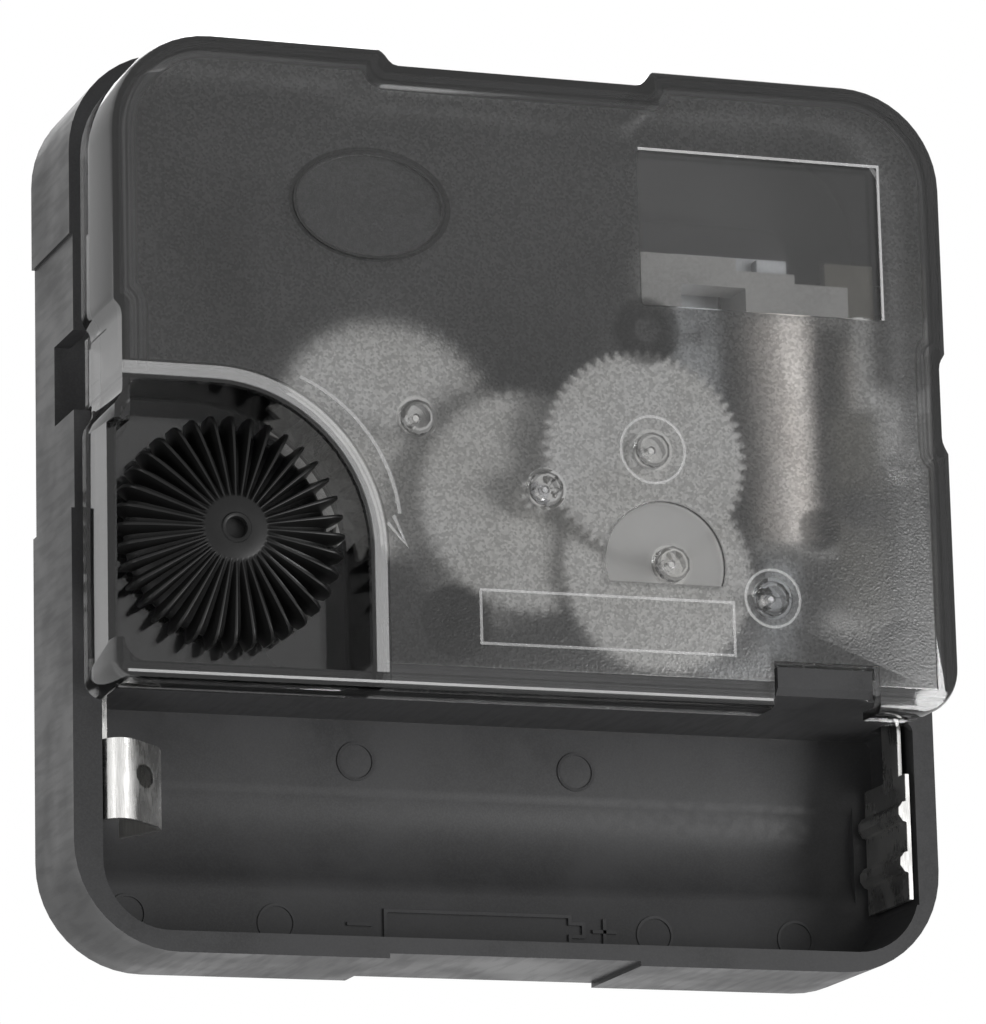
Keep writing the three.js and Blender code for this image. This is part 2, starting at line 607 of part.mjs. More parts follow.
function frontCase() {
  const corners = [CASE_CORNER, CASE_CORNER, CASE_CORNER, CASE_CORNER];
  const body = prism(roundedOutline(-HALF, HALF, -HALF, HALF, corners), 0, CASE_DEPTH);
  const chamberHalf = HALF - CASE_WALL;
  const chamberCorner = CASE_CORNER - CASE_WALL;
  const chamber = prism(
    roundedOutline(-chamberHalf, chamberHalf, CHAMBER_BOTTOM, chamberHalf, [
      CHAMBER_LOWER_CORNER, CHAMBER_LOWER_CORNER, chamberCorner, chamberCorner,
    ]),
    CASE_FLOOR,
    CASE_DEPTH + OVERRUN,
  );
  const partitionLeft = WELL_RIGHT + WELL_WALL + LOOSE_GAP;
  const tallPartition = block(
    partitionLeft, COVER_RIGHT - COVER_CORNER_RIGHT + LOOSE_GAP, BAY_TOP, CHAMBER_BOTTOM,
    CASE_FLOOR, PLATE_LOW - LOOSE_GAP,
  );
  const lowPartition = block(
    -COVER_HALF + COVER_WALL + LOOSE_GAP, partitionLeft, BAY_TOP, CHAMBER_BOTTOM, CASE_FLOOR,
    WELL_FLOOR_LOW - LOOSE_GAP,
  );
  const hook = prismAlongX(new THREE.Shape([
    new THREE.Vector2(BAY_TOP, CASE_FLOOR),
    new THREE.Vector2(CHAMBER_BOTTOM, CASE_FLOOR),
    new THREE.Vector2(CHAMBER_BOTTOM, HOOK_TOP - HOOK_NOSE_HEIGHT),
    new THREE.Vector2(CHAMBER_BOTTOM + HOOK_NOSE_LENGTH, HOOK_TOP - HOOK_NOSE_HEIGHT),
    new THREE.Vector2(CHAMBER_BOTTOM + HOOK_NOSE_LENGTH, HOOK_TOP),
    new THREE.Vector2(BAY_TOP + HOOK_BEVEL, HOOK_TOP),
    new THREE.Vector2(BAY_TOP, HOOK_TOP - HOOK_BEVEL),
  ]), HOOK_LEFT, HOOK_RIGHT);
  const pillars = join(
    rod(PILLAR_A_X, PILLAR_A_Y, PILLAR_A_RADIUS, CASE_FLOOR - WELD, PILLAR_A_TOP),
    rod(PILLAR_A_X, PILLAR_A_Y, PILLAR_A_PIN, PILLAR_A_TOP - WELD, PLATE_LOW - SEAT_GAP, COARSE),
    rod(PILLAR_B_X, PILLAR_B_Y, PILLAR_B_RADIUS, CASE_FLOOR - WELD, PLATE_LOW - SEAT_GAP),
    rod(PILLAR_C_X, PILLAR_C_Y, PILLAR_C_RADIUS, CASE_FLOOR - WELD, PLATE_LOW - SEAT_GAP),
  );
  const bosses = join(
    rod(minuteAxis.x, minuteAxis.y, HUB_RADIUS, CASE_FLOOR - WELD, MINUTE_PINION_LOW - RUNNING_GAP, COARSE),
    rod(knobAxis.x, knobAxis.y, KNOB_BOSS_RADIUS, CASE_FLOOR - WELD, KNOB_BOSS_TOP, COARSE),
  );
  const boardRests = [BOARD_LOW + 2 * BOARD_REST, BOARD_HIGH - BOARD_REST].map((y) => block(
    BOARD_LEFT + SEAT_GAP, HALF - CASE_WALL + WELD, y - BOARD_REST / 2, y + BOARD_REST / 2,
    CASE_FLOOR - WELD, BOARD_BASE - SEAT_GAP,
  ));
  const ledges = [-1, 1].map((side) => sideBlock(
    side, HALF - POCKET_DEPTH, HALF - CASE_WALL + WELD, POCKET_LOW - LOOSE_GAP, POCKET_HIGH + LOOSE_GAP,
    CASE_FLOOR - WELD, POCKET_FLOOR,
  ));
  const pockets = [-1, 1].map((side) => sideBlock(
    side, HALF - POCKET_DEPTH, HALF + OVERRUN, POCKET_LOW, POCKET_HIGH, POCKET_FLOOR, CASE_DEPTH + OVERRUN,
  ));
  const railChannel = block(
    BAY_LEFT, RAIL_RIGHT + LOOSE_GAP, CHAMBER_BOTTOM, CHAMBER_BOTTOM + 2 * LOOSE_GAP + STRIP,
    CASE_FLOOR, RAIL_LOW + RAIL_HEIGHT + LOOSE_GAP,
  );
  const stripSlot = (left, right, low, high) => block(
    left, right, BAY_TOP - OVERRUN, CHAMBER_BOTTOM + WELD, low - LOOSE_GAP, high + LOOSE_GAP,
  );
  const leftSlot = stripSlot(BAY_LEFT, BAY_LEFT + STRIP_WALL_GAP + STRIP + LOOSE_GAP, STRIP_LOW, CONTACT_TOP);
  const rightSlot = stripSlot(
    BAY_RIGHT - STRIP_WALL_GAP - STRIP - LOOSE_GAP - COVER_INSET, BAY_RIGHT, PLATE_NECK_LOW, PLATE_NECK_TOP,
  );
  const plateSeat = block(
    BAY_RIGHT - STRIP_WALL_GAP - STRIP - 2 * LOOSE_GAP, BAY_RIGHT,
    PLATE_CONTACT_LOW - LOOSE_GAP, PLATE_CONTACT_HIGH, BAY_LEDGE, CASE_DEPTH + OVERRUN,
  );
  const sidePanels = [-1, 1].map((side) => sideBlock(
    side, HALF - SIDE_PANEL_DEPTH, HALF + OVERRUN, SIDE_PANEL_LOW, SIDE_PANEL_HIGH, -OVERRUN,
    CASE_DEPTH + OVERRUN,
  ));
  const endPanel = (near, far) => block(
    END_PANEL_LEFT, END_PANEL_RIGHT, near, far, -OVERRUN, CASE_DEPTH + OVERRUN,
  );
  const shell = cut(
    body,
    chamber,
    ...bayAndTrough(),
    ...sidePanels,
    endPanel(-HALF - OVERRUN, -HALF + END_PANEL_DEPTH),
    endPanel(HALF - END_PANEL_DEPTH, HALF + OVERRUN),
  );
  return cut(
    join(shell, tallPartition, lowPartition, hook, pillars, bosses, ...boardRests, ...ledges),
    ...pockets,
    railChannel,
    leftSlot,
    rightSlot,
    plateSeat,
    rod(0, 0, BUSH_RADIUS + RUNNING_GAP, -OVERRUN, CASE_FLOOR + OVERRUN, FINE),
    rod(
      0, 0, BUSH_FLANGE_RADIUS + RUNNING_GAP, CASE_FLOOR - BUSH_FLANGE - SEAT_GAP, CASE_FLOOR + OVERRUN,
      FINE,
    ),
    rod(
      minuteAxis.x, minuteAxis.y, MINUTE_PIVOT_RADIUS + RUNNING_GAP, CASE_FLOOR - PIVOT_SINK,
      MINUTE_PINION_LOW, COARSE,
    ),
    rod(
      knobAxis.x, knobAxis.y, KNOB_PIVOT_RADIUS + RUNNING_GAP, CASE_FLOOR, KNOB_BOSS_TOP + OVERRUN, COARSE,
    ),
    rod(PILLAR_B_X, PILLAR_B_Y, PILLAR_EYE, PLATE_LOW - PILLAR_EYE_DEPTH, PLATE_LOW, COARSE),
    rod(PILLAR_C_X, PILLAR_C_Y, PILLAR_EYE, PLATE_LOW - PILLAR_EYE_DEPTH, PLATE_LOW, COARSE),
  );
}

// Outer block of the cover, with its rear edge eased by a small radius.
function coverBlock() {
  const outline = roundedOutline(-COVER_HALF, COVER_RIGHT, COVER_BOTTOM, COVER_HALF, [
    COVER_CORNER_LEFT, COVER_CORNER_RIGHT, COVER_CORNER_TOP, COVER_CORNER_TOP,
  ]);
  const eased = new THREE.ExtrudeGeometry(outline, {
    depth: MOVEMENT_DEPTH - COVER_LOW,
    bevelEnabled: true,
    bevelThickness: COVER_EDGE,
    bevelSize: COVER_EDGE,
    bevelOffset: -COVER_EDGE,
    bevelSegments: 2,
    curveSegments: CORNER,
  });
  eased.translate(0, 0, COVER_LOW - COVER_EDGE);
  const foot = block(-HALF, HALF, -HALF, HALF, COVER_LOW - 2 * COVER_EDGE, COVER_LOW);
  return cut(toSolid(eased), foot);
}

function wellOutline(grow, lower) {
  const small = WELL_CORNER;
  return roundedOutline(
    -COVER_HALF + WELL_PARAPET - Math.min(grow, WELL_PARAPET / 2),
    WELL_RIGHT + grow,
    lower,
    WELL_HIGH + grow,
    [small, small / 2, WELL_ARC + grow, small],
  );
}

// Rear pivot bump: a low dome with a dimple.
function pivotBump(axis) {
  const foot = MOVEMENT_DEPTH - RECESS_DEPTH - WELD;
  const dome = BUMP_SHARES.map(([radius, rise]) => [
    radius * BUMP_RADIUS, MOVEMENT_DEPTH + rise * BUMP_RISE,
  ]);
  return turned([[0, foot], [BUMP_RADIUS, foot], ...dome], COARSE).translate([axis.x, axis.y, 0]);
}

// Shallow notch with S-shaped shoulders in an edge of the cover, turned by quarters to that edge.
function edgeNotch(edge, from, to, depth, quarters) {
  const shape = new THREE.Shape();
  const bottom = edge - depth;
  shape.moveTo(from - NOTCH_SHOULDER, edge + OVERRUN);
  shape.lineTo(from - NOTCH_SHOULDER, edge);
  shape.bezierCurveTo(from, edge, from, bottom, from + NOTCH_SHOULDER, bottom);
  shape.lineTo(to - NOTCH_SHOULDER, bottom);
  shape.bezierCurveTo(to, bottom, to, edge, to + NOTCH_SHOULDER, edge);
  shape.lineTo(to + NOTCH_SHOULDER, edge + OVERRUN);
  const geometry = new THREE.ExtrudeGeometry(shape, {
    depth: MOVEMENT_DEPTH - COVER_LOW + 2 * OVERRUN,
    bevelEnabled: false,
    curveSegments: CORNER,
  });
  return toSolid(geometry.translate(0, 0, COVER_LOW - OVERRUN).rotateZ(quarters * Math.PI / 2));
}

function rearCover() {
  const inner = COVER_HALF - COVER_WALL;
  const innerRight = COVER_RIGHT - COVER_WALL;
  const upper = COVER_CORNER_TOP - COVER_WALL;
  const hollow = prism(
    roundedOutline(-inner, innerRight, COVER_BOTTOM + COVER_LIP_WALL, inner, [
      COVER_CORNER_LEFT / 2, COVER_CORNER_RIGHT - COVER_WALL, upper, upper,
    ]),
    COVER_LOW - OVERRUN,
    PLATE_LOW,
  );
  const notchBack = block(
    TOP_NOTCH_LEFT - COVER_WALL, TOP_NOTCH_RIGHT + COVER_WALL, inner - TOP_NOTCH_DEPTH, HALF,
    COVER_LOW - OVERRUN, MOVEMENT_DEPTH,
  );
  const underLip = block(
    -inner, innerRight, COVER_BOTTOM - OVERRUN, COVER_BOTTOM + COVER_LIP_WALL + SEAT_GAP,
    COVER_LOW - OVERRUN, MOVEMENT_DEPTH - COVER_LIP,
  );
  const wellBox = prism(
    wellOutline(WELL_WALL, WELL_LOW - WELL_LOWER_WALL), WELL_FLOOR_LOW, MOVEMENT_DEPTH - COVER_EDGE,
  );
  const wellPocket = prism(wellOutline(0, WELL_LOW), WELL_FLOOR_TOP, MOVEMENT_DEPTH + OVERRUN);
  const parapetInner = -COVER_HALF + WELL_PARAPET;
  const parapetGap = block(
    -HALF, parapetInner + SEAT_GAP, WELL_LOW + WELL_CORNER, PARAPET_HIGH,
    PARAPET_TOP, MOVEMENT_DEPTH + OVERRUN,
  );
  const parapetLug = block(
    parapetInner - WELL_PARAPET / 2, -COVER_HALF + PARAPET_LUG, PARAPET_HIGH, WELL_HIGH + WELD,
    WELL_FLOOR_TOP - WELD, MOVEMENT_DEPTH - COVER_EDGE,
  );
  const tongues = [[-1, COVER_HALF], [1, COVER_RIGHT]].map(([side, edge]) => {
    const outer = edge - SIDE_NOTCH_DEPTH;
    return sideBlock(
      side, outer - TONGUE_THICKNESS, outer, POCKET_LOW + LOOSE_GAP, POCKET_HIGH - LOOSE_GAP,
      COVER_LOW - TONGUE_LENGTH, COVER_LOW + TONGUE_ROOT,
    );
  });
  const notches = [
    edgeNotch(COVER_HALF, TOP_NOTCH_LEFT, TOP_NOTCH_RIGHT, TOP_NOTCH_DEPTH, 0),
    edgeNotch(COVER_HALF, SIDE_NOTCH_LOW, SIDE_NOTCH_HIGH, SIDE_NOTCH_DEPTH, 1),
    edgeNotch(COVER_RIGHT, -SIDE_NOTCH_HIGH, -SIDE_NOTCH_LOW, SIDE_NOTCH_DEPTH, -1),
  ];
  const hookWindow = block(
    HOOK_LEFT - HOOK_SIDE_GAP, HOOK_RIGHT + HOOK_SIDE_GAP, COVER_BOTTOM - OVERRUN, HOOK_WINDOW_HIGH,
    PLATE_LOW + HOOK_LEDGE_HEIGHT, MOVEMENT_DEPTH + OVERRUN,
  );
  const hookPassage = block(
    HOOK_LEFT - HOOK_SIDE_GAP, HOOK_RIGHT + HOOK_SIDE_GAP, COVER_BOTTOM - OVERRUN,
    CHAMBER_BOTTOM + SEAT_GAP + RUNNING_GAP, CASE_DEPTH, MOVEMENT_DEPTH,
  );
  const windowRecess = prism(
    roundedOutline(WINDOW_RIGHT - WINDOW_WIDTH, WINDOW_RIGHT, WINDOW_HIGH - WINDOW_HEIGHT, WINDOW_HIGH, [
      RECESS_DEPTH, RECESS_DEPTH, RECESS_DEPTH, RECESS_DEPTH,
    ]),
    MOVEMENT_DEPTH - RECESS_DEPTH,
    MOVEMENT_DEPTH + OVERRUN,
    2,
  );
  const eye = new THREE.Shape();
  const flatAngle = Math.asin(EYE_FLAT / EYE_RADIUS);
  eye.absarc(
    intermediateAxis.x - EYE_SHIFT, intermediateAxis.y, EYE_RADIUS, -flatAngle, Math.PI + flatAngle, false,
  );
  const eyeRecess = prism(eye, MOVEMENT_DEPTH - RECESS_DEPTH, MOVEMENT_DEPTH + OVERRUN, MEDIUM);
  const oval = new THREE.Shape();
  oval.absellipse(OVAL_X, OVAL_Y, OVAL_HALF_WIDTH, OVAL_HALF_HEIGHT, 0, 2 * Math.PI);
  const ovalHole = new THREE.Path();
  ovalHole.absellipse(
    OVAL_X, OVAL_Y, OVAL_HALF_WIDTH - OVAL_RIM, OVAL_HALF_HEIGHT - OVAL_RIM, 0, 2 * Math.PI,
  );
  oval.holes.push(ovalHole);
  const ovalRim = prism(oval, MOVEMENT_DEPTH - WELD, MOVEMENT_DEPTH + OVAL_RISE, MEDIUM);
  const axes = [minuteAxis, thirdAxis, intermediateAxis, rotorAxis, centreAxis];
  const shell = cut(coverBlock(), cut(hollow, notchBack), underLip);
  const withWell = cut(
    join(cut(join(shell, wellBox), wellPocket), parapetLug, ...tongues),
    parapetGap, windowRecess, eyeRecess, ...notches,
  );
  return cut(
    join(withWell, ovalRim, ...axes.map(pivotBump)),
    hookWindow,
    hookPassage,
    rod(
      knobAxis.x, knobAxis.y, KNOB_STEM_RADIUS + RUNNING_GAP, WELL_FLOOR_LOW - OVERRUN,
      WELL_FLOOR_TOP + OVERRUN,
    ),
    ...axes.map((axis) => rod(
      axis.x, axis.y, PIVOT_RADIUS + RUNNING_GAP, PLATE_LOW - OVERRUN, PIVOT_TOP + RUNNING_GAP, COARSE,
    )),
  );
}

function middlePlate() {
  const corner = MIDDLE_CORNER;
  const sheet = prism(
    roundedOutline(MIDDLE_LEFT, MIDDLE_RIGHT, MIDDLE_LOW, MIDDLE_HIGH, [corner, corner, corner, corner]),
    PLATE_BOTTOM,
    PLATE_TOP,
  );
  const feet = [
    [MIDDLE_LEFT + FOOT_INSET, MIDDLE_LOW + FOOT_INSET],
    [MIDDLE_LEFT + FOOT_INSET, MIDDLE_HIGH - FOOT_INSET],
    [MIDDLE_RIGHT - FOOT_INSET, MIDDLE_HIGH - FOOT_INSET],
    [ROTOR_X, MIDDLE_LOW + FOOT_INSET],
  ].map(([x, y]) => rod(x, y, FOOT_RADIUS, CASE_FLOOR + SEAT_GAP, PLATE_BOTTOM + WELD, COARSE));
  const studs = statorStuds().flatMap(([x, y]) => [
    rod(x, y, STUD_RADIUS, PLATE_TOP - WELD, STATOR_LOW - SEAT_GAP, COARSE),
    rod(x, y, STUD_PIN_RADIUS, PLATE_TOP, STATOR_LOW + STATOR_THICKNESS + STUD_PIN_RISE, COARSE),
  ]);
  const minuteHole = gearTip(minutePinionPitch, MINUTE_PINION_TEETH, PINION_FLANK_SHARES) + LOOSE_GAP;
  const blindHoles = [thirdAxis, intermediateAxis, rotorAxis].map((axis) => rod(
    axis.x, axis.y, PIVOT_RADIUS + RUNNING_GAP, PLATE_TOP - PIVOT_SINK - RUNNING_GAP,
    PLATE_TOP + OVERRUN, COARSE,
  ));
  return cut(
    join(sheet, ...feet, ...studs),
    rod(minuteAxis.x, minuteAxis.y, minuteHole, 0, PLATE_TOP + OVERRUN),
    rod(0, 0, MINUTE_TUBE_RADIUS + LOOSE_GAP, 0, PLATE_TOP + OVERRUN),
    rod(PILLAR_A_X, PILLAR_A_Y, PILLAR_A_RADIUS + LOOSE_GAP, 0, PLATE_TOP + OVERRUN),
    rod(PILLAR_C_X, PILLAR_C_Y, PILLAR_C_RADIUS + LOOSE_GAP, 0, PLATE_TOP + OVERRUN),
    ...blindHoles,
  );
}

function gearTip(pitchRadius, teeth, flankShares) {
  return pitchRadius * (1 + 2 * flankShares.at(-1)[0] / teeth);
}

function threadedBush() {
  const bore = HOUR_TUBE_RADIUS + RUNNING_GAP;
  return turned([
    [bore, -BUSH_LENGTH],
    [BUSH_RADIUS - BUSH_CHAMFER, -BUSH_LENGTH],
    [BUSH_RADIUS, -BUSH_LENGTH + BUSH_CHAMFER],
    [BUSH_RADIUS, CASE_FLOOR - BUSH_FLANGE],
    [BUSH_FLANGE_RADIUS, CASE_FLOOR - BUSH_FLANGE],
    [BUSH_FLANGE_RADIUS, CASE_FLOOR],
    [bore, CASE_FLOOR],
  ], FINE);
}

function hourWheel() {
  const top = HOUR_WHEEL_LOW + HOUR_WHEEL_THICKNESS;
  const tube = turned([
    [0, -HOUR_TUBE_END],
    [HOUR_TUBE_RADIUS - BUSH_CHAMFER / 2, -HOUR_TUBE_END],
    [HOUR_TUBE_RADIUS, -HOUR_TUBE_END + BUSH_CHAMFER],
    [HOUR_TUBE_RADIUS, CASE_FLOOR + RUNNING_GAP],
    [HOUR_TUBE_RADIUS + HUB_RISE * 2, CASE_FLOOR + RUNNING_GAP],
    [HOUR_TUBE_RADIUS + HUB_RISE * 2, top + HUB_RISE],
    [0, top + HUB_RISE],
  ], MEDIUM);
  const gear = wheel(HOUR_TEETH, hourPitch, HOUR_WHEEL_LOW, top);
  return cut(
    join(tube, gear),
    rod(0, 0, MINUTE_TUBE_RADIUS + RUNNING_GAP, -HOUR_TUBE_END - OVERRUN, top + OVERRUN),
  );
}

function cannonPinion() {
  const pinionLow = MINUTE_GEAR_LOW - PINION_OVERLAP;
  const pinionTop = MINUTE_GEAR_LOW + WHEEL_THICKNESS + PINION_OVERLAP;
  const flangeRadius = MINUTE_TUBE_RADIUS + 2 * CLUTCH_FLANGE;
  const tube = turned([
    [0, -MINUTE_TUBE_END],
    [MINUTE_TUBE_RADIUS - RUNNING_GAP, -MINUTE_TUBE_END],
    [MINUTE_TUBE_RADIUS, -MINUTE_TUBE_END + BUSH_CHAMFER],
    [MINUTE_TUBE_RADIUS, CENTRE_WHEEL_LOW - RUNNING_GAP - CLUTCH_FLANGE],
    [flangeRadius, CENTRE_WHEEL_LOW - RUNNING_GAP - CLUTCH_FLANGE],
    [flangeRadius, CENTRE_WHEEL_LOW - RUNNING_GAP],
    [MINUTE_TUBE_RADIUS, CENTRE_WHEEL_LOW - RUNNING_GAP],
    [MINUTE_TUBE_RADIUS, pinionLow],
    [0, pinionLow],
  ]);
  const flats = [-1, 1].map((side) => {
    const outside = MINUTE_TUBE_RADIUS + OVERRUN;
    const [near, far] = [side * MINUTE_TUBE_FLAT, side * outside].sort((a, b) => a - b);
    return block(
      -MINUTE_TUBE_RADIUS - OVERRUN, MINUTE_TUBE_RADIUS + OVERRUN, near, far,
      -MINUTE_TUBE_END - OVERRUN, -MINUTE_TUBE_END + MINUTE_TUBE_FLAT_LENGTH,
    );
  });
  const leaves = pinion(CANNON_TEETH, cannonPitch, pinionLow - WELD, pinionTop);
  return cut(
    join(tube, leaves),
    ...flats,
    rod(0, 0, SECONDS_ARBOR_RADIUS + RUNNING_GAP, -MINUTE_TUBE_END - OVERRUN, pinionTop + OVERRUN, COARSE),
  );
}

function minuteWheel() {
  const gearTop = MINUTE_GEAR_LOW + WHEEL_THICKNESS;
  const shaft = turned([
    [0, CASE_FLOOR - PIVOT_SINK + RUNNING_GAP],
    [MINUTE_PIVOT_RADIUS, CASE_FLOOR - PIVOT_SINK + RUNNING_GAP],
    [MINUTE_PIVOT_RADIUS, MINUTE_PINION_LOW + WELD],
    [HUB_RADIUS, MINUTE_PINION_LOW + WELD],
    [HUB_RADIUS, gearTop + HUB_RISE],
    [ARBOR_RADIUS, gearTop + HUB_RISE],
    [ARBOR_RADIUS, PLATE_LOW - RUNNING_GAP],
    [PIVOT_RADIUS, PLATE_LOW - RUNNING_GAP],
    [PIVOT_RADIUS, PIVOT_TOP],
    [0, PIVOT_TOP],
  ], COARSE);
  return join(
    shaft,
    wheel(MINUTE_TEETH, minutePitch, MINUTE_GEAR_LOW, gearTop),
    pinion(MINUTE_PINION_TEETH, minutePinionPitch, MINUTE_PINION_LOW, MINUTE_PINION_HIGH),
  );
}

// Gear under the well floor, with a stem up into the knob and a pivot down to the case.
function settingWheel() {
  const shaft = turned([
    [0, CASE_FLOOR + RUNNING_GAP],
    [KNOB_PIVOT_RADIUS, CASE_FLOOR + RUNNING_GAP],
    [KNOB_PIVOT_RADIUS, KNOB_BOSS_TOP + RUNNING_GAP],
    [KNOB_STEM_RADIUS, KNOB_BOSS_TOP + RUNNING_GAP],
    [KNOB_STEM_RADIUS, KNOB_TOP - KNOB_ROOF - RUNNING_GAP],
    [0, KNOB_TOP - KNOB_ROOF - RUNNING_GAP],
  ], COARSE);
  return join(shaft, wheel(SETTING_TEETH, settingPitch, SETTING_GEAR_LOW, SETTING_GEAR_TOP));
}

// Ribbed knob: the ribs run out from the hub, drop slightly to the rim and end as round teeth.
function settingKnob() {
  const reach = KNOB_RADIUS - KNOB_HUB_RADIUS;
  const bottom = WELL_FLOOR_TOP + KNOB_LIFT;
  const profile = (shares) => shares.map(([out, down]) => [
    KNOB_HUB_RADIUS + out * reach, KNOB_TOP - down * (KNOB_TOP - bottom),
  ]);
  const crest = profile(KNOB_CREST_SHARES);
  const valley = profile(KNOB_VALLEY_SHARES);
  const positions = [0, 0, KNOB_TOP];
  const steps = KNOB_RIB_SHARES.length;
  const around = steps * KNOB_RIBS;
  const pitch = 2 * Math.PI / KNOB_RIBS;
  for (let row = 0; row < crest.length; row += 1) {
    for (let step = 0; step < around; step += 1) {
      const [radius, height] = step % steps === steps - 1 ? valley[row] : crest[row];
      const angle = (Math.floor(step / steps) + KNOB_RIB_SHARES[step % steps]) * pitch;
      positions.push(radius * Math.cos(angle), radius * Math.sin(angle), height);
    }
  }
  positions.push(0, 0, bottom);
  const at = (row, step) => 1 + row * around + step % around;
  const last = positions.length / 3 - 1;
  const faces = [];
  for (let step = 0; step < around; step += 1) {
    faces.push(0, at(0, step), at(0, step + 1));
    for (let row = 0; row < crest.length - 1; row += 1) {
      faces.push(at(row, step), at(row + 1, step), at(row + 1, step + 1));
      faces.push(at(row, step), at(row + 1, step + 1), at(row, step + 1));
    }
    faces.push(last, at(crest.length - 1, step + 1), at(crest.length - 1, step));
  }
  const geometry = new THREE.BufferGeometry();
  geometry.setAttribute('position', new THREE.Float32BufferAttribute(positions, 3));
  geometry.setIndex(faces);
  const boreTop = KNOB_TOP - KNOB_ROOF;
  const ring = turned([
    [KNOB_EYE_RADIUS, KNOB_TOP - WELD],
    [KNOB_EYE_RADIUS + KNOB_EYE_RIM, KNOB_TOP - WELD],
    [KNOB_EYE_RADIUS + KNOB_EYE_RIM, KNOB_TOP + KNOB_EYE_RISE],
    [KNOB_EYE_RADIUS, KNOB_TOP + KNOB_EYE_RISE],
  ], MEDIUM);
  return join(
    cut(
      toSolid(geometry),
      rod(0, 0, KNOB_STEM_RADIUS + RUNNING_GAP / 2, bottom - OVERRUN, boreTop),
      rod(0, 0, KNOB_EYE_RADIUS, boreTop - OVERRUN, KNOB_TOP + OVERRUN),
    ),
    ring,
  );
}

// One plastic arbor with a wheel and a pinion, between the middle plate and the cover.
function trainWheel({ teeth, pitch, low, pinionTeeth, pinionPitch, pinionLow, pinionHigh, arbor }) {
  const shaft = turned([
    [0, PLATE_TOP - PIVOT_SINK],
    [PIVOT_RADIUS, PLATE_TOP - PIVOT_SINK],
    [PIVOT_RADIUS, PLATE_TOP + RUNNING_GAP],
    [arbor, PLATE_TOP + RUNNING_GAP],
    [arbor, PLATE_LOW - RUNNING_GAP],
    [PIVOT_RADIUS, PLATE_LOW - RUNNING_GAP],
    [PIVOT_RADIUS, PIVOT_TOP],
    [0, PIVOT_TOP],
  ], COARSE);
  const parts = [shaft, pinion(pinionTeeth, pinionPitch, pinionLow, pinionHigh)];
  if (teeth) {
    parts.push(wheel(teeth, pitch, low, low + WHEEL_THICKNESS));
    parts.push(rod(0, 0, HUB_RADIUS, low, low + WHEEL_THICKNESS + HUB_RISE, COARSE));
  }
  return join(...parts);
}

function centreWheel() {
  const gear = wheel(CENTRE_TEETH, centrePitch, CENTRE_WHEEL_LOW, CENTRE_WHEEL_LOW + WHEEL_THICKNESS);
  const hub = rod(
    0, 0, MINUTE_TUBE_RADIUS + 2 * CLUTCH_FLANGE, CENTRE_WHEEL_LOW,
    CENTRE_WHEEL_LOW + WHEEL_THICKNESS + HUB_RISE,
  );
  return cut(join(gear, hub), rod(
    0, 0, MINUTE_TUBE_RADIUS + RUNNING_GAP, CENTRE_WHEEL_LOW - OVERRUN, CENTRE_WHEEL_LOW + 2 * OVERRUN,
  ));
}

function secondsWheel() {
  const top = THIRD_WHEEL_LOW + WHEEL_THICKNESS + RUNNING_GAP;
  const hub = rod(
    0, 0, HUB_RADIUS, SECONDS_WHEEL_LOW - HUB_RISE, SECONDS_WHEEL_LOW + WHEEL_THICKNESS, COARSE,
  );
  return cut(
    join(
      wheel(SECONDS_TEETH, secondsPitch, SECONDS_WHEEL_LOW, SECONDS_WHEEL_LOW + WHEEL_THICKNESS),
      hub,
      pinion(SECONDS_PINION_TEETH, secondsPinionPitch, SECONDS_WHEEL_LOW, top),
    ),
    rod(0, 0, SECONDS_ARBOR_RADIUS + SEAT_GAP, 0, top + OVERRUN, COARSE),
  );
}

function secondsArbor() {
  return turned([
    [0, -SECONDS_ARBOR_END],
    [SECONDS_ARBOR_RADIUS - RUNNING_GAP, -SECONDS_ARBOR_END],
    [SECONDS_ARBOR_RADIUS, -SECONDS_ARBOR_END + RUNNING_GAP],
    [SECONDS_ARBOR_RADIUS, PLATE_LOW - RUNNING_GAP],
    [PIVOT_RADIUS, PLATE_LOW - RUNNING_GAP],
    [PIVOT_RADIUS, PIVOT_TOP],
    [0, PIVOT_TOP],
  ], COARSE);
}

function rotorMagnet() {
  return turned([
    [ARBOR_RADIUS + SEAT_GAP, MAGNET_LOW],
    [MAGNET_RADIUS, MAGNET_LOW],
    [MAGNET_RADIUS, MAGNET_LOW + MAGNET_LENGTH],
    [ARBOR_RADIUS + SEAT_GAP, MAGNET_LOW + MAGNET_LENGTH],
  ]);
}

// Places where the stator sits on studs of the middle plate.
function statorStuds() {
  const armX = COIL_X - COIL_RADIUS - STATOR_ARM / 2 - 2 * LOOSE_GAP;
  return [
    [armX, (COIL_LOW + COIL_HIGH) / 2],
    [armX, COIL_HIGH - STATOR_ARM],
  ];
}

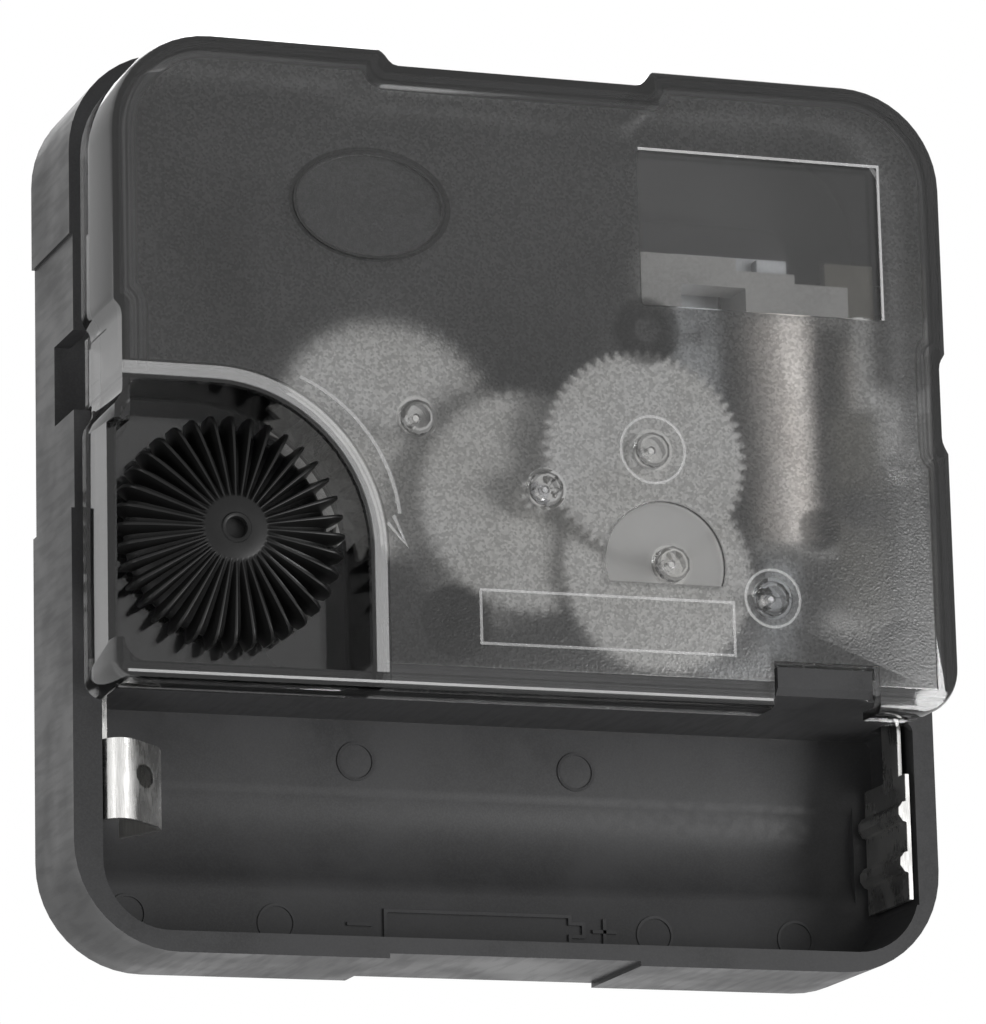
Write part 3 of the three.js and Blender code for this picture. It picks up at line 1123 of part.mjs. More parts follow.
// Soft-iron plate: an eye round the rotor, one arm up beside the coil, and a foot under each core end.
function stator() {
  const armRight = COIL_X - COIL_RADIUS - 2 * LOOSE_GAP;
  const armLeft = armRight - STATOR_ARM;
  const top = COIL_HIGH + CORE_OVERHANG + LOOSE_GAP;
  const footTop = COIL_LOW - LOOSE_GAP;
  const footLow = ROTOR_Y - STATOR_EYE;
  const right = COIL_X + CORE_WIDTH / 2 + LOOSE_GAP;
  const level = (left, near, rightEdge, far) => block(
    left, rightEdge, near, far, STATOR_LOW, STATOR_LOW + STATOR_THICKNESS,
  );
  const eyeRadius = STATOR_EYE + STATOR_RING;
  const ring = rod(ROTOR_X, ROTOR_Y, eyeRadius, STATOR_LOW, STATOR_LOW + STATOR_THICKNESS);
  const plate = join(
    level(armLeft, ROTOR_Y, armRight, top),
    level(armLeft, top - STATOR_ARM / 2, right, top),
    level(ROTOR_X, footLow, right, footTop - LOOSE_GAP),
    cut(ring, level(armRight, footTop - LOOSE_GAP, right + eyeRadius, top)),
  );
  const pinHoles = statorStuds().map(([x, y]) => rod(
    x, y, STUD_PIN_RADIUS + SEAT_GAP, STATOR_LOW - OVERRUN, STATOR_LOW + 2 * OVERRUN, COARSE,
  ));
  const eye = rod(ROTOR_X, ROTOR_Y, STATOR_EYE, STATOR_LOW - OVERRUN, STATOR_LOW + 2 * OVERRUN);
  return cut(plate, eye, ...pinHoles);
}

function rodAlongY(radius, near, far, facets = MEDIUM) {
  const geometry = new THREE.CylinderGeometry(radius, radius, far - near, facets);
  return toSolid(geometry.translate(COIL_X, (near + far) / 2, COIL_Z));
}

function coilCore() {
  return block(
    COIL_X - CORE_WIDTH / 2, COIL_X + CORE_WIDTH / 2, COIL_LOW - CORE_OVERHANG, COIL_HIGH + CORE_OVERHANG,
    CORE_LOW, CORE_LOW + CORE_THICKNESS,
  );
}

// Bobbin with a stepped head, which reaches left on a leg of its own.
function coilBobbin() {
  const half = COIL_RADIUS;
  const floor = STATOR_LOW + STATOR_THICKNESS + SEAT_GAP;
  const flange = (near, far, low) => block(COIL_X - half, COIL_X + half, near, far, low, COIL_Z + half);
  const headLow = COIL_HIGH - BOBBIN_HEAD;
  const legRight = BOBBIN_HEAD_LEFT + BOBBIN_LEG;
  const head = prism(new THREE.Shape([
    new THREE.Vector2(BOBBIN_HEAD_LEFT, headLow),
    new THREE.Vector2(legRight, headLow),
    new THREE.Vector2(legRight, headLow + BOBBIN_ARCH),
    new THREE.Vector2(COIL_X - half, headLow + BOBBIN_ARCH),
    new THREE.Vector2(COIL_X - half, headLow),
    new THREE.Vector2(BOBBIN_HEAD_RIGHT, headLow),
    new THREE.Vector2(BOBBIN_HEAD_RIGHT, COIL_HIGH),
    new THREE.Vector2(COIL_X + BOBBIN_STEP, COIL_HIGH),
    new THREE.Vector2(COIL_X + BOBBIN_STEP, COIL_HIGH + BOBBIN_STEP),
    new THREE.Vector2(COIL_X - half - BOBBIN_STEP, COIL_HIGH + BOBBIN_STEP),
    new THREE.Vector2(COIL_X - half - BOBBIN_STEP, COIL_HIGH + BOBBIN_LEG_RISE),
    new THREE.Vector2(BOBBIN_HEAD_LEFT, COIL_HIGH + BOBBIN_LEG_RISE),
  ]), BOBBIN_HEAD_LOW, COIL_Z + half);
  const slot = block(
    COIL_X - CORE_WIDTH / 2 - SEAT_GAP, COIL_X + CORE_WIDTH / 2 + SEAT_GAP, COIL_LOW - OVERRUN,
    COIL_HIGH + OVERRUN, CORE_LOW - SEAT_GAP, CORE_LOW + CORE_THICKNESS + SEAT_GAP,
  );
  return cut(
    join(
      rodAlongY(BOBBIN_TUBE, COIL_LOW, COIL_HIGH),
      flange(COIL_LOW, COIL_LOW + BOBBIN_FLANGE, COIL_Z - half),
      flange(headLow, COIL_HIGH, Math.min(floor, COIL_Z - BOBBIN_TUBE)),
      head,
    ),
    slot,
  );
}

function coilWinding() {
  const near = COIL_LOW + BOBBIN_FLANGE + SEAT_GAP;
  const far = COIL_HIGH - BOBBIN_HEAD - SEAT_GAP;
  return cut(
    rodAlongY(COIL_RADIUS - SEAT_GAP, near, far),
    rodAlongY(BOBBIN_TUBE + SEAT_GAP, near - OVERRUN, far + OVERRUN),
  );
}

const boardMiddle = (BOARD_LEFT + BOARD_RIGHT) / 2;
const boardTop = BOARD_BASE + BOARD_THICKNESS;

function circuitBoard() {
  return block(BOARD_LEFT, BOARD_RIGHT, BOARD_LOW, BOARD_HIGH, BOARD_BASE, boardTop);
}

function chipCap() {
  const base = boardTop + SEAT_GAP;
  const dome = CHIP_SHARES.map(([radius, rise]) => [radius * CHIP_RADIUS, base + rise * CHIP_RISE]);
  return turned([[0, base], ...dome], COARSE).translate([boardMiddle, CHIP_Y, 0]);
}

function quartzCrystal() {
  const can = new THREE.CylinderGeometry(CRYSTAL_RADIUS, CRYSTAL_RADIUS, CRYSTAL_LENGTH, COARSE);
  const z = boardTop + SEAT_GAP + CRYSTAL_RADIUS;
  return toSolid(can.translate(boardMiddle, CRYSTAL_Y + CRYSTAL_LENGTH / 2, z));
}

// Spring leaf in the bay, run through the partition, along it and up to the board.
function negativeContact() {
  const wallX = BAY_LEFT + STRIP_WALL_GAP + STRIP / 2;
  const knee = wallX + LEAF_REACH;
  const crest = CONTACT_TOP + STRIP / 2;
  const at = (x, z) => new THREE.Vector2(x, z);
  const bend = new THREE.SplineCurve([
    at(wallX, CONTACT_TOP - LEAF_BEND),
    at(wallX + LEAF_BEND, crest),
    at(wallX + LEAF_CREST, crest),
    at((wallX + LEAF_CREST + knee) / 2, (crest + LEAF_KNEE_Z) / 2 + STRIP),
    at(knee, LEAF_KNEE_Z),
    at(knee - LEAF_TAIL_BACK, CONTACT_LOW + STRIP),
  ]);
  const leaf = prismAlongY(stripOutline([
    at(wallX, CONTACT_LOW), ...bend.getPoints(LEAF_BEND_STEPS),
  ], STRIP), LEAF_HIGH - LEAF_WIDTH, LEAF_HIGH);
  const hole = rod(
    knee - 2 * LEAF_HOLE_RADIUS, LEAF_HIGH - LEAF_HOLE_SHARE * LEAF_WIDTH, LEAF_HOLE_RADIUS,
    LEAF_KNEE_Z, CONTACT_TOP + OVERRUN, COARSE,
  );
  const railY = CHAMBER_BOTTOM + LOOSE_GAP + STRIP / 2;
  const left = wallX - STRIP / 2;
  const rail = railY + STRIP / 2;
  const fingerHigh = BOARD_LOW + FINGER_WIDTH + WELD;
  return join(
    cut(leaf, hole),
    block(left, left + STRIP, LEAF_HIGH - WELD, rail, STRIP_LOW, CONTACT_TOP - LEAF_BEND),
    block(left, left + STRIP, rail - STRIP - WELD, rail, RAIL_LOW, STRIP_LOW + WELD),
    block(left, RAIL_RIGHT, rail - STRIP, rail, RAIL_LOW, RAIL_LOW + RAIL_HEIGHT),
    block(RAIL_RIGHT - STRIP, RAIL_RIGHT, rail - STRIP, fingerHigh, RAIL_LOW, RAIL_LOW + RAIL_HEIGHT),
    block(RAIL_RIGHT - STRIP, RAIL_RIGHT, fingerHigh - FINGER_WIDTH, fingerHigh, RAIL_LOW, FINGER_TOP),
    block(
      RAIL_RIGHT - STRIP, BOARD_LEFT + FINGER_REACH, fingerHigh - FINGER_WIDTH, fingerHigh,
      FINGER_TOP - STRIP, FINGER_TOP,
    ),
  );
}

// Plate in the bay with two pressed ribs, and a neck that runs up to the board.
function positiveContact() {
  const right = BAY_RIGHT - STRIP_WALL_GAP - LOOSE_GAP;
  const left = right - STRIP;
  const fingerHigh = BOARD_LOW + FINGER_WIDTH + WELD;
  const ribs = RIB_SHARES.map((share) => {
    const y = PLATE_CONTACT_HIGH + share * (PLATE_CONTACT_LOW - PLATE_CONTACT_HIGH);
    return rod(left + RIB_RADIUS - RIB_RISE, y, RIB_RADIUS, CONTACT_LOW, CONTACT_TOP, COARSE);
  });
  const behind = block(
    right, right + RIB_RADIUS + OVERRUN, PLATE_CONTACT_LOW, PLATE_CONTACT_HIGH, 0, MOVEMENT_DEPTH,
  );
  return join(
    cut(join(
      block(left, right, PLATE_CONTACT_LOW, PLATE_CONTACT_HIGH, CONTACT_LOW, CONTACT_TOP),
      ...ribs,
    ), behind),
    block(left, right, PLATE_CONTACT_HIGH - WELD, fingerHigh, PLATE_NECK_LOW, PLATE_NECK_TOP),
    block(
      BOARD_RIGHT - FINGER_REACH, right, fingerHigh - FINGER_WIDTH, fingerHigh,
      FINGER_TOP - STRIP, FINGER_TOP,
    ),
  );
}

addPiece('front_case', 'case', frontCase());
addPiece('rear_cover', 'cover', rearCover());
addPiece('threaded_bush', 'brass', threadedBush());
addPiece('middle_plate', 'inner', middlePlate());
addPiece('setting_knob', 'knob', settingKnob(), knobAxis, settingAngle);
addPiece('setting_wheel', 'knob', settingWheel(), knobAxis, settingAngle);
addPiece('minute_wheel', 'gear', minuteWheel(), minuteAxis, minuteAngle);
addPiece('cannon_pinion', 'steel', cannonPinion(), centreAxis, cannonAngle);
addPiece('hour_wheel', 'inner', hourWheel(), centreAxis, hourAngle);
addPiece('centre_wheel', 'gear', centreWheel(), centreAxis, centreAngle);
addPiece('third_wheel', 'gear', trainWheel({
  teeth: THIRD_TEETH,
  pitch: thirdPitch,
  low: THIRD_WHEEL_LOW,
  pinionTeeth: THIRD_PINION_TEETH,
  pinionPitch: thirdPinionPitch,
  pinionLow: CENTRE_WHEEL_LOW - PINION_OVERLAP,
  pinionHigh: CENTRE_WHEEL_LOW + WHEEL_THICKNESS + PINION_OVERLAP,
  arbor: ARBOR_RADIUS,
}), thirdAxis, thirdAngle);
addPiece('seconds_wheel', 'gear', secondsWheel(), centreAxis, secondsAngle);
addPiece('seconds_arbor', 'steel', secondsArbor());
addPiece('intermediate_wheel', 'gear', trainWheel({
  teeth: INTERMEDIATE_TEETH,
  pitch: intermediatePitch,
  low: INTERMEDIATE_WHEEL_LOW,
  pinionTeeth: INTERMEDIATE_PINION_TEETH,
  pinionPitch: intermediatePinionPitch,
  pinionLow: SECONDS_WHEEL_LOW - PINION_OVERLAP,
  pinionHigh: INTERMEDIATE_WHEEL_LOW + WELD,
  arbor: ARBOR_RADIUS,
}), intermediateAxis, intermediateAngle);
addPiece('rotor_pinion', 'steel', trainWheel({
  pinionTeeth: ROTOR_TEETH,
  pinionPitch: rotorPitch,
  pinionLow: INTERMEDIATE_WHEEL_LOW - PINION_OVERLAP,
  pinionHigh: INTERMEDIATE_WHEEL_LOW + WHEEL_THICKNESS + PINION_OVERLAP,
  arbor: ARBOR_RADIUS,
}), rotorAxis, rotorAngle);
addPiece('rotor_magnet', 'magnet', rotorMagnet(), rotorAxis);
addPiece('stator', 'iron', stator());
addPiece('coil_core', 'iron', coilCore());
addPiece('coil_bobbin', 'bobbin', coilBobbin());
addPiece('coil_winding', 'wire', coilWinding());
addPiece('circuit_board', 'board', circuitBoard());
addPiece('chip_cap', 'epoxy', chipCap());
addPiece('quartz_crystal', 'nickel', quartzCrystal());
addPiece('negative_contact', 'nickel', negativeContact());
addPiece('positive_contact', 'nickel', positiveContact());

// Stand the movement up: the dial face turns to +Y and the battery bay to the bottom.
const upright = new THREE.Group();
upright.rotation.x = Math.PI / 2;
upright.add(movement);

export default upright;
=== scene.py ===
# Quartz clock movement, 56 mm square: the finish and fine shape of every piece, built around the
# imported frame. Bench millimetres are used for sizes: x to the right and y up as seen from behind,
# z from the dial face towards the rear cover.
import json
import math

import bmesh
import bpy
from mathutils import Matrix, Vector

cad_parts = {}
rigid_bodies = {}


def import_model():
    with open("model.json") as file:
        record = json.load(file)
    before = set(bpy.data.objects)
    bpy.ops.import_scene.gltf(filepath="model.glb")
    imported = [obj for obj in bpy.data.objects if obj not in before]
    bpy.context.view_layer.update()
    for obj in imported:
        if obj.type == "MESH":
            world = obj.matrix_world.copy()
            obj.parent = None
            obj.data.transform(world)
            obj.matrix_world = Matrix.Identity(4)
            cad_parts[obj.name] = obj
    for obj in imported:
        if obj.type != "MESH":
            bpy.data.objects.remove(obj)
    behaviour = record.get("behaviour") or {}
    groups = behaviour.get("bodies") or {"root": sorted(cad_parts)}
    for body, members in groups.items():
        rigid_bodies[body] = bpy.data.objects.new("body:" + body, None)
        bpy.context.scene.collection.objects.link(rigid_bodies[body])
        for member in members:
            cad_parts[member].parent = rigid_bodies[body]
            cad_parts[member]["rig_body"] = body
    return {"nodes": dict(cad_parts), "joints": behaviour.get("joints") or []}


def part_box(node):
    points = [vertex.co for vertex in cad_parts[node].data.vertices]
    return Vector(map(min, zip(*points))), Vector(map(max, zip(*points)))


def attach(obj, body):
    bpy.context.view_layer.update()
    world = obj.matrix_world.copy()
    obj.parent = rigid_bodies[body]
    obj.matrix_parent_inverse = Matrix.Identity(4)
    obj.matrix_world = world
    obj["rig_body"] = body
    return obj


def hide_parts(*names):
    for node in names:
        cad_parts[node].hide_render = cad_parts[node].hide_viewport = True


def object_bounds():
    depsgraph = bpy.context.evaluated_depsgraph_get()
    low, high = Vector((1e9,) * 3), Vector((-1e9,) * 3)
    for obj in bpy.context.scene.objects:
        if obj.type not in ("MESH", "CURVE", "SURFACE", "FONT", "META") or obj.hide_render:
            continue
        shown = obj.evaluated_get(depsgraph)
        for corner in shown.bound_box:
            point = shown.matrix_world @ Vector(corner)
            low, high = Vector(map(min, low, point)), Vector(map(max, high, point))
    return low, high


bl_info = {
    "name": "Quartz clock movement",
    "version": (1, 0, 0),
    "blender": (4, 5, 0),
    "location": "3D View > Sidebar > Movement",
    "description": "Dresses a packed clock movement with its plastics, metals, marks and stage",
    "category": "Object",
}

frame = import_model()
CAD_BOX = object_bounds()

MM = 0.001
BENCH_TO_WORLD = Matrix(((MM, 0, 0, 0), (0, 0, -MM, 0), (0, MM, 0, 0), (0, 0, 0, 1)))
WORLD_TO_BENCH = BENCH_TO_WORLD.inverted()


def bench_box(node):
    """Lowest and highest corner of a CAD node, in bench millimetres."""
    corners = [WORLD_TO_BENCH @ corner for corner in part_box(node)]
    low = Vector([min(c[i] for c in corners) for i in range(3)])
    high = Vector([max(c[i] for c in corners) for i in range(3)])
    return low, high


def joint_axis(name):
    """Place of a turning axis, in bench x and y."""
    joint = next(j for j in frame["joints"] if j["name"] == name)
    place = WORLD_TO_BENCH @ Vector(joint["pos_m"])
    return place.x, place.y


COVER_LOW, COVER_HIGH = bench_box("rear_cover")
KNOB_LOW, KNOB_HIGH = bench_box("setting_knob")
BUSH_LOW, BUSH_HIGH = bench_box("threaded_bush")
WINDING_LOW, WINDING_HIGH = bench_box("coil_winding")
KNOB_AXIS = joint_axis("knob_turn")
EYE_AXIS = joint_axis("intermediate_turn")
WHEEL_AXES = [joint_axis(name) for name in (
    "minute_work_turn", "third_turn", "intermediate_turn", "rotor_turn", "centre_turn",
)]

# Rear cover, in bench millimetres.
COVER_FACE = 15.8
COVER_CORNER = 6.4
COVER_MARGIN = 1.55
# Rim width and low edge: where the painted shade along the cover's walls and rim begins.
RIM_WIDTH = 0.5
RIM_LOW = 10.7
SIDE_NOTCH_LOW, SIDE_NOTCH_HIGH, SIDE_NOTCH_DEPTH = 4.0, 10.0, 0.6
# Pillars that stand under the cover, over which the cover gets a disc of painted shade: x, y, radius and the
# radius of a middle left unshaded.
PILLARS = (
    (6.95, 10.5, 2.1, 0.8), (23.5, -8.6, 1.8, 0.85), (-5.9, -8.5, 2.3, 0.0), (18.0, -1.5, 1.3, 0.0),
)
# Raised rings: x, y and radius.
RINGS = ((7.0, 2.85, 2.1), (14.6, -6.1, 1.8))
NOTCH_LEFT = -9.75
NOTCH_RIGHT = 7.4
NOTCH_DEPTH = 1.1
WINDOW = (6.6, 22.7, 12.1, 22.1)
WINDOW_CORNER = 0.3
EYE_RADIUS = 3.9
EYE_FLAT = 1.25
EYE_SHIFT = 0.45
OVAL_CENTRE = (-10.95, 17.2)
OVAL_HALF = (4.95, 3.45)
BUMP_RADIUS = 1.25
WELL_LEFT = -26.7
WELL_RIGHT = -11.3
WELL_LOW = -11.85
WELL_HIGH = 5.4
WELL_ARC = 9.7
WELL_LIP = 1.1
ARROW_RADIUS = 9.85
ARROW_FROM_DEG = 68.5
ARROW_TO_DEG = 6
ARROW_WIDTH = 0.22
ARROW_HEAD = ((-9.85, -2.2), (-9.05, -4.0), (-10.25, -2.65))
STRIP_FRAME = (-4.4, 12.0, -9.8, -6.5)
STRIP_LINE = 0.16
LIP_INSET = 0.45
HOOK_LEFT = 14.4
MARK_RISE = 0.08
SEAT_GAP = 0.01
BORDER_RISE = 0.03

# Where the cover's finish changes, in bench millimetres, and how dark each band of painted shade is, as a
# share.
FADE = 0.12
SOFT_FADE = 0.15
FACE_FADE_LOW = 0.1
FACE_FADE_HIGH = 0.05
LINE_FADE_OUT = 0.05
LINE_FADE_IN = 0.02
RIM_FADE = 0.08
RIM_RISE = 0.3
OVAL_CALM_SHARE = 0.35
RIM_SHADE = 0.85
WALL_SHADE = 0.5
WELL_SHADE = 0.25
PILLAR_SHADE = 0.72
PILLAR_FADE = (0.25, -0.2)
PILLAR_EYE_FADE = (-0.1, 0.2)
# Thin lines of painted shade along edges, grooves and rings: distance from the outline that each follows,
# width and shade.
GROOVE_LINE = (-1.0, 0.12, 0.7)
MARGIN_LINE = (-COVER_MARGIN, 0.08, 0.5)
WELL_LIP_LINE = (WELL_LIP, 0.1, 0.7)
WELL_EDGE_LINE = (0.05, 0.22, 0.95)
OVAL_LINE = (0.0, 0.3, 0.9)
EYE_LINE = (0.0, 0.12, 0.6)
BUMP_LINE = (-0.25, 0.2, 0.7)

# Battery bay, in bench millimetres.
BAY_LEDGE = 2.0
RING_RADIUS = 1.15
RING_WIDTH = 0.18
SHELF_RINGS = ((-8.0, -14.6), (6.5, -14.7))
LEDGE_RINGS = ((-22.8, -24.6), (-13.3, -24.9), (11.5, -24.9), (21.0, -24.9))
CELL_MARK = (-6.3, 5.8, -25.6, -23.9)
CELL_NIPPLE = (0.9, 0.9)
MARK_LINE = 0.22
SIGN_HALF = 0.8
MINUS_CENTRE = (-8.0, -24.8)
PLUS_CENTRE = (8.1, -24.8)


def length_value(name, description, default):
    """A setting that is a length, given in millimetres."""
    return bpy.props.FloatProperty(name=name, description=description, default=default * MM,
                                   min=0, unit="LENGTH", precision=5)


def share_value(name, description, default):
    """A setting between nought and one."""
    return bpy.props.FloatProperty(name=name, description=description, default=default,
                                   min=0, max=1, subtype="FACTOR")


def amount_value(name, description, default, unit="NONE"):
    """A setting that is an amount of light or a strength."""
    return bpy.props.FloatProperty(name=name, description=description, default=default, min=0, unit=unit)


def colour_value(name, description, default):
    """A setting that is a colour."""
    return bpy.props.FloatVectorProperty(name=name, description=description, default=default,
                                         min=0, max=1, size=3, subtype="COLOR")


class MovementFinishes(bpy.types.PropertyGroup):
    """Colours and surface finishes of the movement."""
    case_colour: colour_value("Case", "Moulded plastic of the front case", (0.036, 0.036, 0.037))
    knob_colour: colour_value("Knob", "Moulded plastic of the setting knob", (0.010, 0.010, 0.010))
    inner_colour: colour_value("Inner plate", "Plastic of the middle plate", (0.015, 0.015, 0.016))
    wheel_colour: colour_value("Wheels", "Off-white plastic of the wheels", (0.80, 0.79, 0.765))
    bobbin_colour: colour_value("Bobbin", "Plastic of the coil's bobbin", (0.27, 0.267, 0.26))
    magnet_colour: colour_value("Magnet", "Ferrite of the rotor's magnet", (0.05, 0.05, 0.055))
    epoxy_colour: colour_value("Chip cap", "Epoxy over the chip", (0.01, 0.01, 0.01))
    smoke_colour: colour_value("Smoke", "Colour that the cover takes with depth", (0.04, 0.04, 0.042))
    smoke_density: amount_value("Smoke density", "Darkening of light per metre of plastic", 270)
    frost: share_value("Frost", "Roughness of the textured face of the cover", 0.26)
    cover_haze: share_value("Haze", "Share of the cover that scatters light", 0.005)
    # The raised lines and the well's border are real relief; this haze makes them lighter than the cover, a
    # painted highlight.
    ridge_haze: share_value("Ridge haze", "Share of light that the fine raised lines scatter", 0.13)
    # This haze lightens the bands along the window's edges and the lower lip: a painted highlight where the
    # real edges only catch light.
    glint_haze: share_value("Glint haze", "Share of light that the window's edges and the lip scatter", 0.25)
    grain_size: length_value("Cover grain", "Size of the cover's moulded texture", 0.15)
    case_grain: length_value("Case grain", "Size of the case's satin texture", 0.09)
    brass_colour: colour_value("Brass", "Turned brass of the bush and tubes", (0.66, 0.50, 0.24))
    nickel_colour: colour_value("Nickel", "Plating of the contacts", (0.72, 0.715, 0.70))
    steel_colour: colour_value("Steel", "Bright steel of the arbor", (0.60, 0.60, 0.61))
    iron_colour: colour_value("Soft iron", "Stampings of the motor", (0.33, 0.34, 0.35))
    copper_colour: colour_value("Winding", "Enamelled copper wire", (0.78, 0.745, 0.715))
    board_colour: colour_value("Board", "Laminate of the circuit board", (0.10, 0.095, 0.08))


class MovementSizes(bpy.types.PropertyGroup):
    """Small sizes that the fine shapes use."""
    case_round: length_value("Case edges", "Radius on the outer edges of the case", 0.14)
    cover_round: length_value("Cover edges", "Radius on the edges of the cover", 0.1)
    strip_round: length_value("Contact edges", "Radius on the edges of the contacts", 0.05)
    thread_pitch: length_value("Thread pitch", "Rise of one turn of the bush thread", 0.75)
    thread_depth: length_value("Thread depth", "Depth of the bush thread", 0.36)
    wire_pitch: length_value("Wire pitch", "Distance between turns of the winding", 0.2)


class MovementStage(bpy.types.PropertyGroup):
    """Light and floor around the movement."""
    floor_colour: colour_value("Floor", "Plain pale floor", (0.86, 0.86, 0.86))
    world_strength: amount_value("World", "Light from all around", 0.18)
    key_power: amount_value("Key lamp", "Power of the main lamp", 1.9, "POWER")
    fill_power: amount_value("Soft lamps", "Power of each of the three softer lamps", 0.42, "POWER")


# Mesh building: how near two points count as one, and how flat two faces count as one.
SAME_POINT = 0.0005 * MM
FLAT_DEG = 0.5


def piece_from(bm, name, material, body, replaces=(), crease_deg=35, bench=True):
    """Closes a mesh into a piece that rides on a body and may stand for CAD nodes."""
    if bench:
        bmesh.ops.transform(bm, matrix=BENCH_TO_WORLD, verts=bm.verts)
    bmesh.ops.recalc_face_normals(bm, faces=bm.faces)
    crease = math.radians(crease_deg)
    for face in bm.faces:
        face.smooth = True
    for edge in bm.edges:
        edge.smooth = len(edge.link_faces) == 2 and edge.calc_face_angle(0) < crease
    mesh = bpy.data.meshes.new(name)
    bm.to_mesh(mesh)
    bm.free()
    piece = bpy.data.objects.new(name, mesh)
    bpy.context.scene.collection.objects.link(piece)
    mesh.materials.append(material)
    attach(piece, body)
    if replaces:
        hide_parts(*replaces)
    return piece


def apply_modifiers(piece):
    """Replaces the piece's mesh by the one that its modifiers make."""
    evaluated = piece.evaluated_get(bpy.context.evaluated_depsgraph_get())
    mesh = bpy.data.meshes.new_from_object(evaluated)
    piece.modifiers.clear()
    piece.data = mesh


def soften_edges(piece, radius, segments=2, angle_deg=40):
    """Rounds the sharp edges of a piece by a small radius."""
    bevel = piece.modifiers.new("edges", "BEVEL")
    bevel.width = radius
    bevel.segments = segments
    bevel.limit_method = "ANGLE"
    bevel.angle_limit = math.radians(angle_deg)
    bevel.use_clamp_overlap = True
    bevel.harden_normals = True
    apply_modifiers(piece)


def eased_copy(node, name, material, radius=0, crease_deg=35):
    """A piece with the CAD node's shape, its flat faces whole and its round faces shaded smooth."""
    source = frame["nodes"][node]
    bm = bmesh.new()
    bm.from_mesh(source.data)
    bmesh.ops.remove_doubles(bm, verts=bm.verts, dist=SAME_POINT)
    bmesh.ops.dissolve_limit(bm, angle_limit=math.radians(FLAT_DEG), verts=bm.verts, edges=bm.edges)
    piece = piece_from(bm, name, material, source["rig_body"], (node,), crease_deg, bench=False)
    if radius:
        soften_edges(piece, radius)
    return piece


def skin_rows(bm, rows, closed=False):
    """Joins rings of points with faces, and closes the last ring to the first if asked."""
    made = [[bm.verts.new(point) for point in row] for row in rows]
    pairs = list(zip(made, made[1:])) + ([(made[-1], made[0])] if closed else [])
    for lower, upper in pairs:
        count = len(lower)
        for i in range(count):
            j = (i + 1) % count
            bm.faces.new((lower[i], lower[j], upper[j], upper[i]))
    return made


def extrude_outline(bm, outline, low, high):
    """Straight prism of a flat outline of (x, y) points, between two heights."""
    lower = [bm.verts.new((x, y, low)) for x, y in outline]
    upper = [bm.verts.new((x, y, high)) for x, y in outline]
    bm.faces.new(lower[::-1])
    bm.faces.new(upper)
    count = len(outline)
    for i in range(count):
        j = (i + 1) % count
        bm.faces.new((lower[i], lower[j], upper[j], upper[i]))


def band(bm, path, width, low, high, closed=False):
    """Flat ridge of even width along a line of (x, y) points."""
    count = len(path)
    sides = []
    for i, point in enumerate(path):
        before = Vector(path[(i - 1) % count] if closed else path[max(i - 1, 0)])
        after = Vector(path[(i + 1) % count] if closed else path[min(i + 1, count - 1)])
        here = Vector(point)
        first = (here - before).normalized() if (here - before).length else (after - here).normalized()
        second = (after - here).normalized() if (after - here).length else first
        normal = Vector((-(first + second).y, (first + second).x)).normalized()
        reach = width / 2 / max(normal.dot(Vector((-first.y, first.x))), 0.5)
        sides.append((here - normal * reach, here + normal * reach))
    rows = []
    for left, right in sides:
        corners = ((left, low), (right, low), (right, high), (left, high))
        rows.append([(side.x, side.y, height) for side, height in corners])
    made = skin_rows(bm, rows, closed)
    if not closed:
        bm.faces.new(made[0][::-1])
        bm.faces.new(made[-1])


def circle_path(centre, radius, steps=40):
    """Points round a circle."""
    turns = [2 * math.pi * i / steps for i in range(steps)]
    return [(centre[0] + radius * math.cos(t), centre[1] + radius * math.sin(t)) for t in turns]


def arc_path(centre, radius, start_deg, end_deg, steps=32):
    """Points along an arc."""
    turns = [math.radians(start_deg + (end_deg - start_deg) * i / steps) for i in range(steps + 1)]
    return [(centre[0] + radius * math.cos(t), centre[1] + radius * math.sin(t)) for t in turns]


def box_path(left, right, low, high):
    """Corners of a rectangle."""
    return [(left, low), (right, low), (right, high), (left, high)]


# Shader nodes.

def add_node(tree, kind, inputs=None, **settings):
    """A shader node with its settings, and each input given as a value or as another node's socket."""
    node = tree.nodes.new(kind)
    for key, value in settings.items():
        setattr(node, key, value)
    for key, value in (inputs or {}).items():
        socket = node.inputs[key]
        if isinstance(value, bpy.types.NodeSocket):
            tree.links.new(value, socket)
        else:
            socket.default_value = value
    return node


def math_node(tree, operation, *values):
    """The result of one sum of numbers or other nodes' sockets."""
    node = tree.nodes.new("ShaderNodeMath")
    node.operation = operation
    for socket, value in zip(node.inputs, values):
        if isinstance(value, bpy.types.NodeSocket):
            tree.links.new(value, socket)
        else:
            socket.default_value = value
    return node.outputs[0]


def times(tree, first, second):
    return math_node(tree, "MULTIPLY", first, second)


def plus(tree, first, second):
    return math_node(tree, "ADD", first, second)


def minus(tree, first, second):
    return math_node(tree, "SUBTRACT", first, second)


def larger(tree, first, second):
    return math_node(tree, "MAXIMUM", first, second)


def ramp(tree, value, low, high, to_low=0.0, to_high=1.0):
    """Soft step of a value from one number to another."""
    return add_node(tree, "ShaderNodeMapRange", {
        "Value": value, "From Min": low, "From Max": high, "To Min": to_low, "To Max": to_high,
    }, interpolation_type="SMOOTHSTEP").outputs["Result"]


def mix_colour(tree, factor, first, second):
    """A colour between two others."""
    node = tree.nodes.new("ShaderNodeMix")
    node.data_type = "RGBA"
    for socket, value in ((node.inputs[0], factor), (node.inputs[6], first), (node.inputs[7], second)):
        if isinstance(value, bpy.types.NodeSocket):
            tree.links.new(value, socket)
        else:
            socket.default_value = value
    return node.outputs[2]


def opaque(colour):
    """The colour with full alpha."""
    return (*colour, 1.0)


def scaled(colour, factor):
    """The colour made lighter or darker by a factor."""
    return tuple(min(channel * factor, 1.0) for channel in colour)


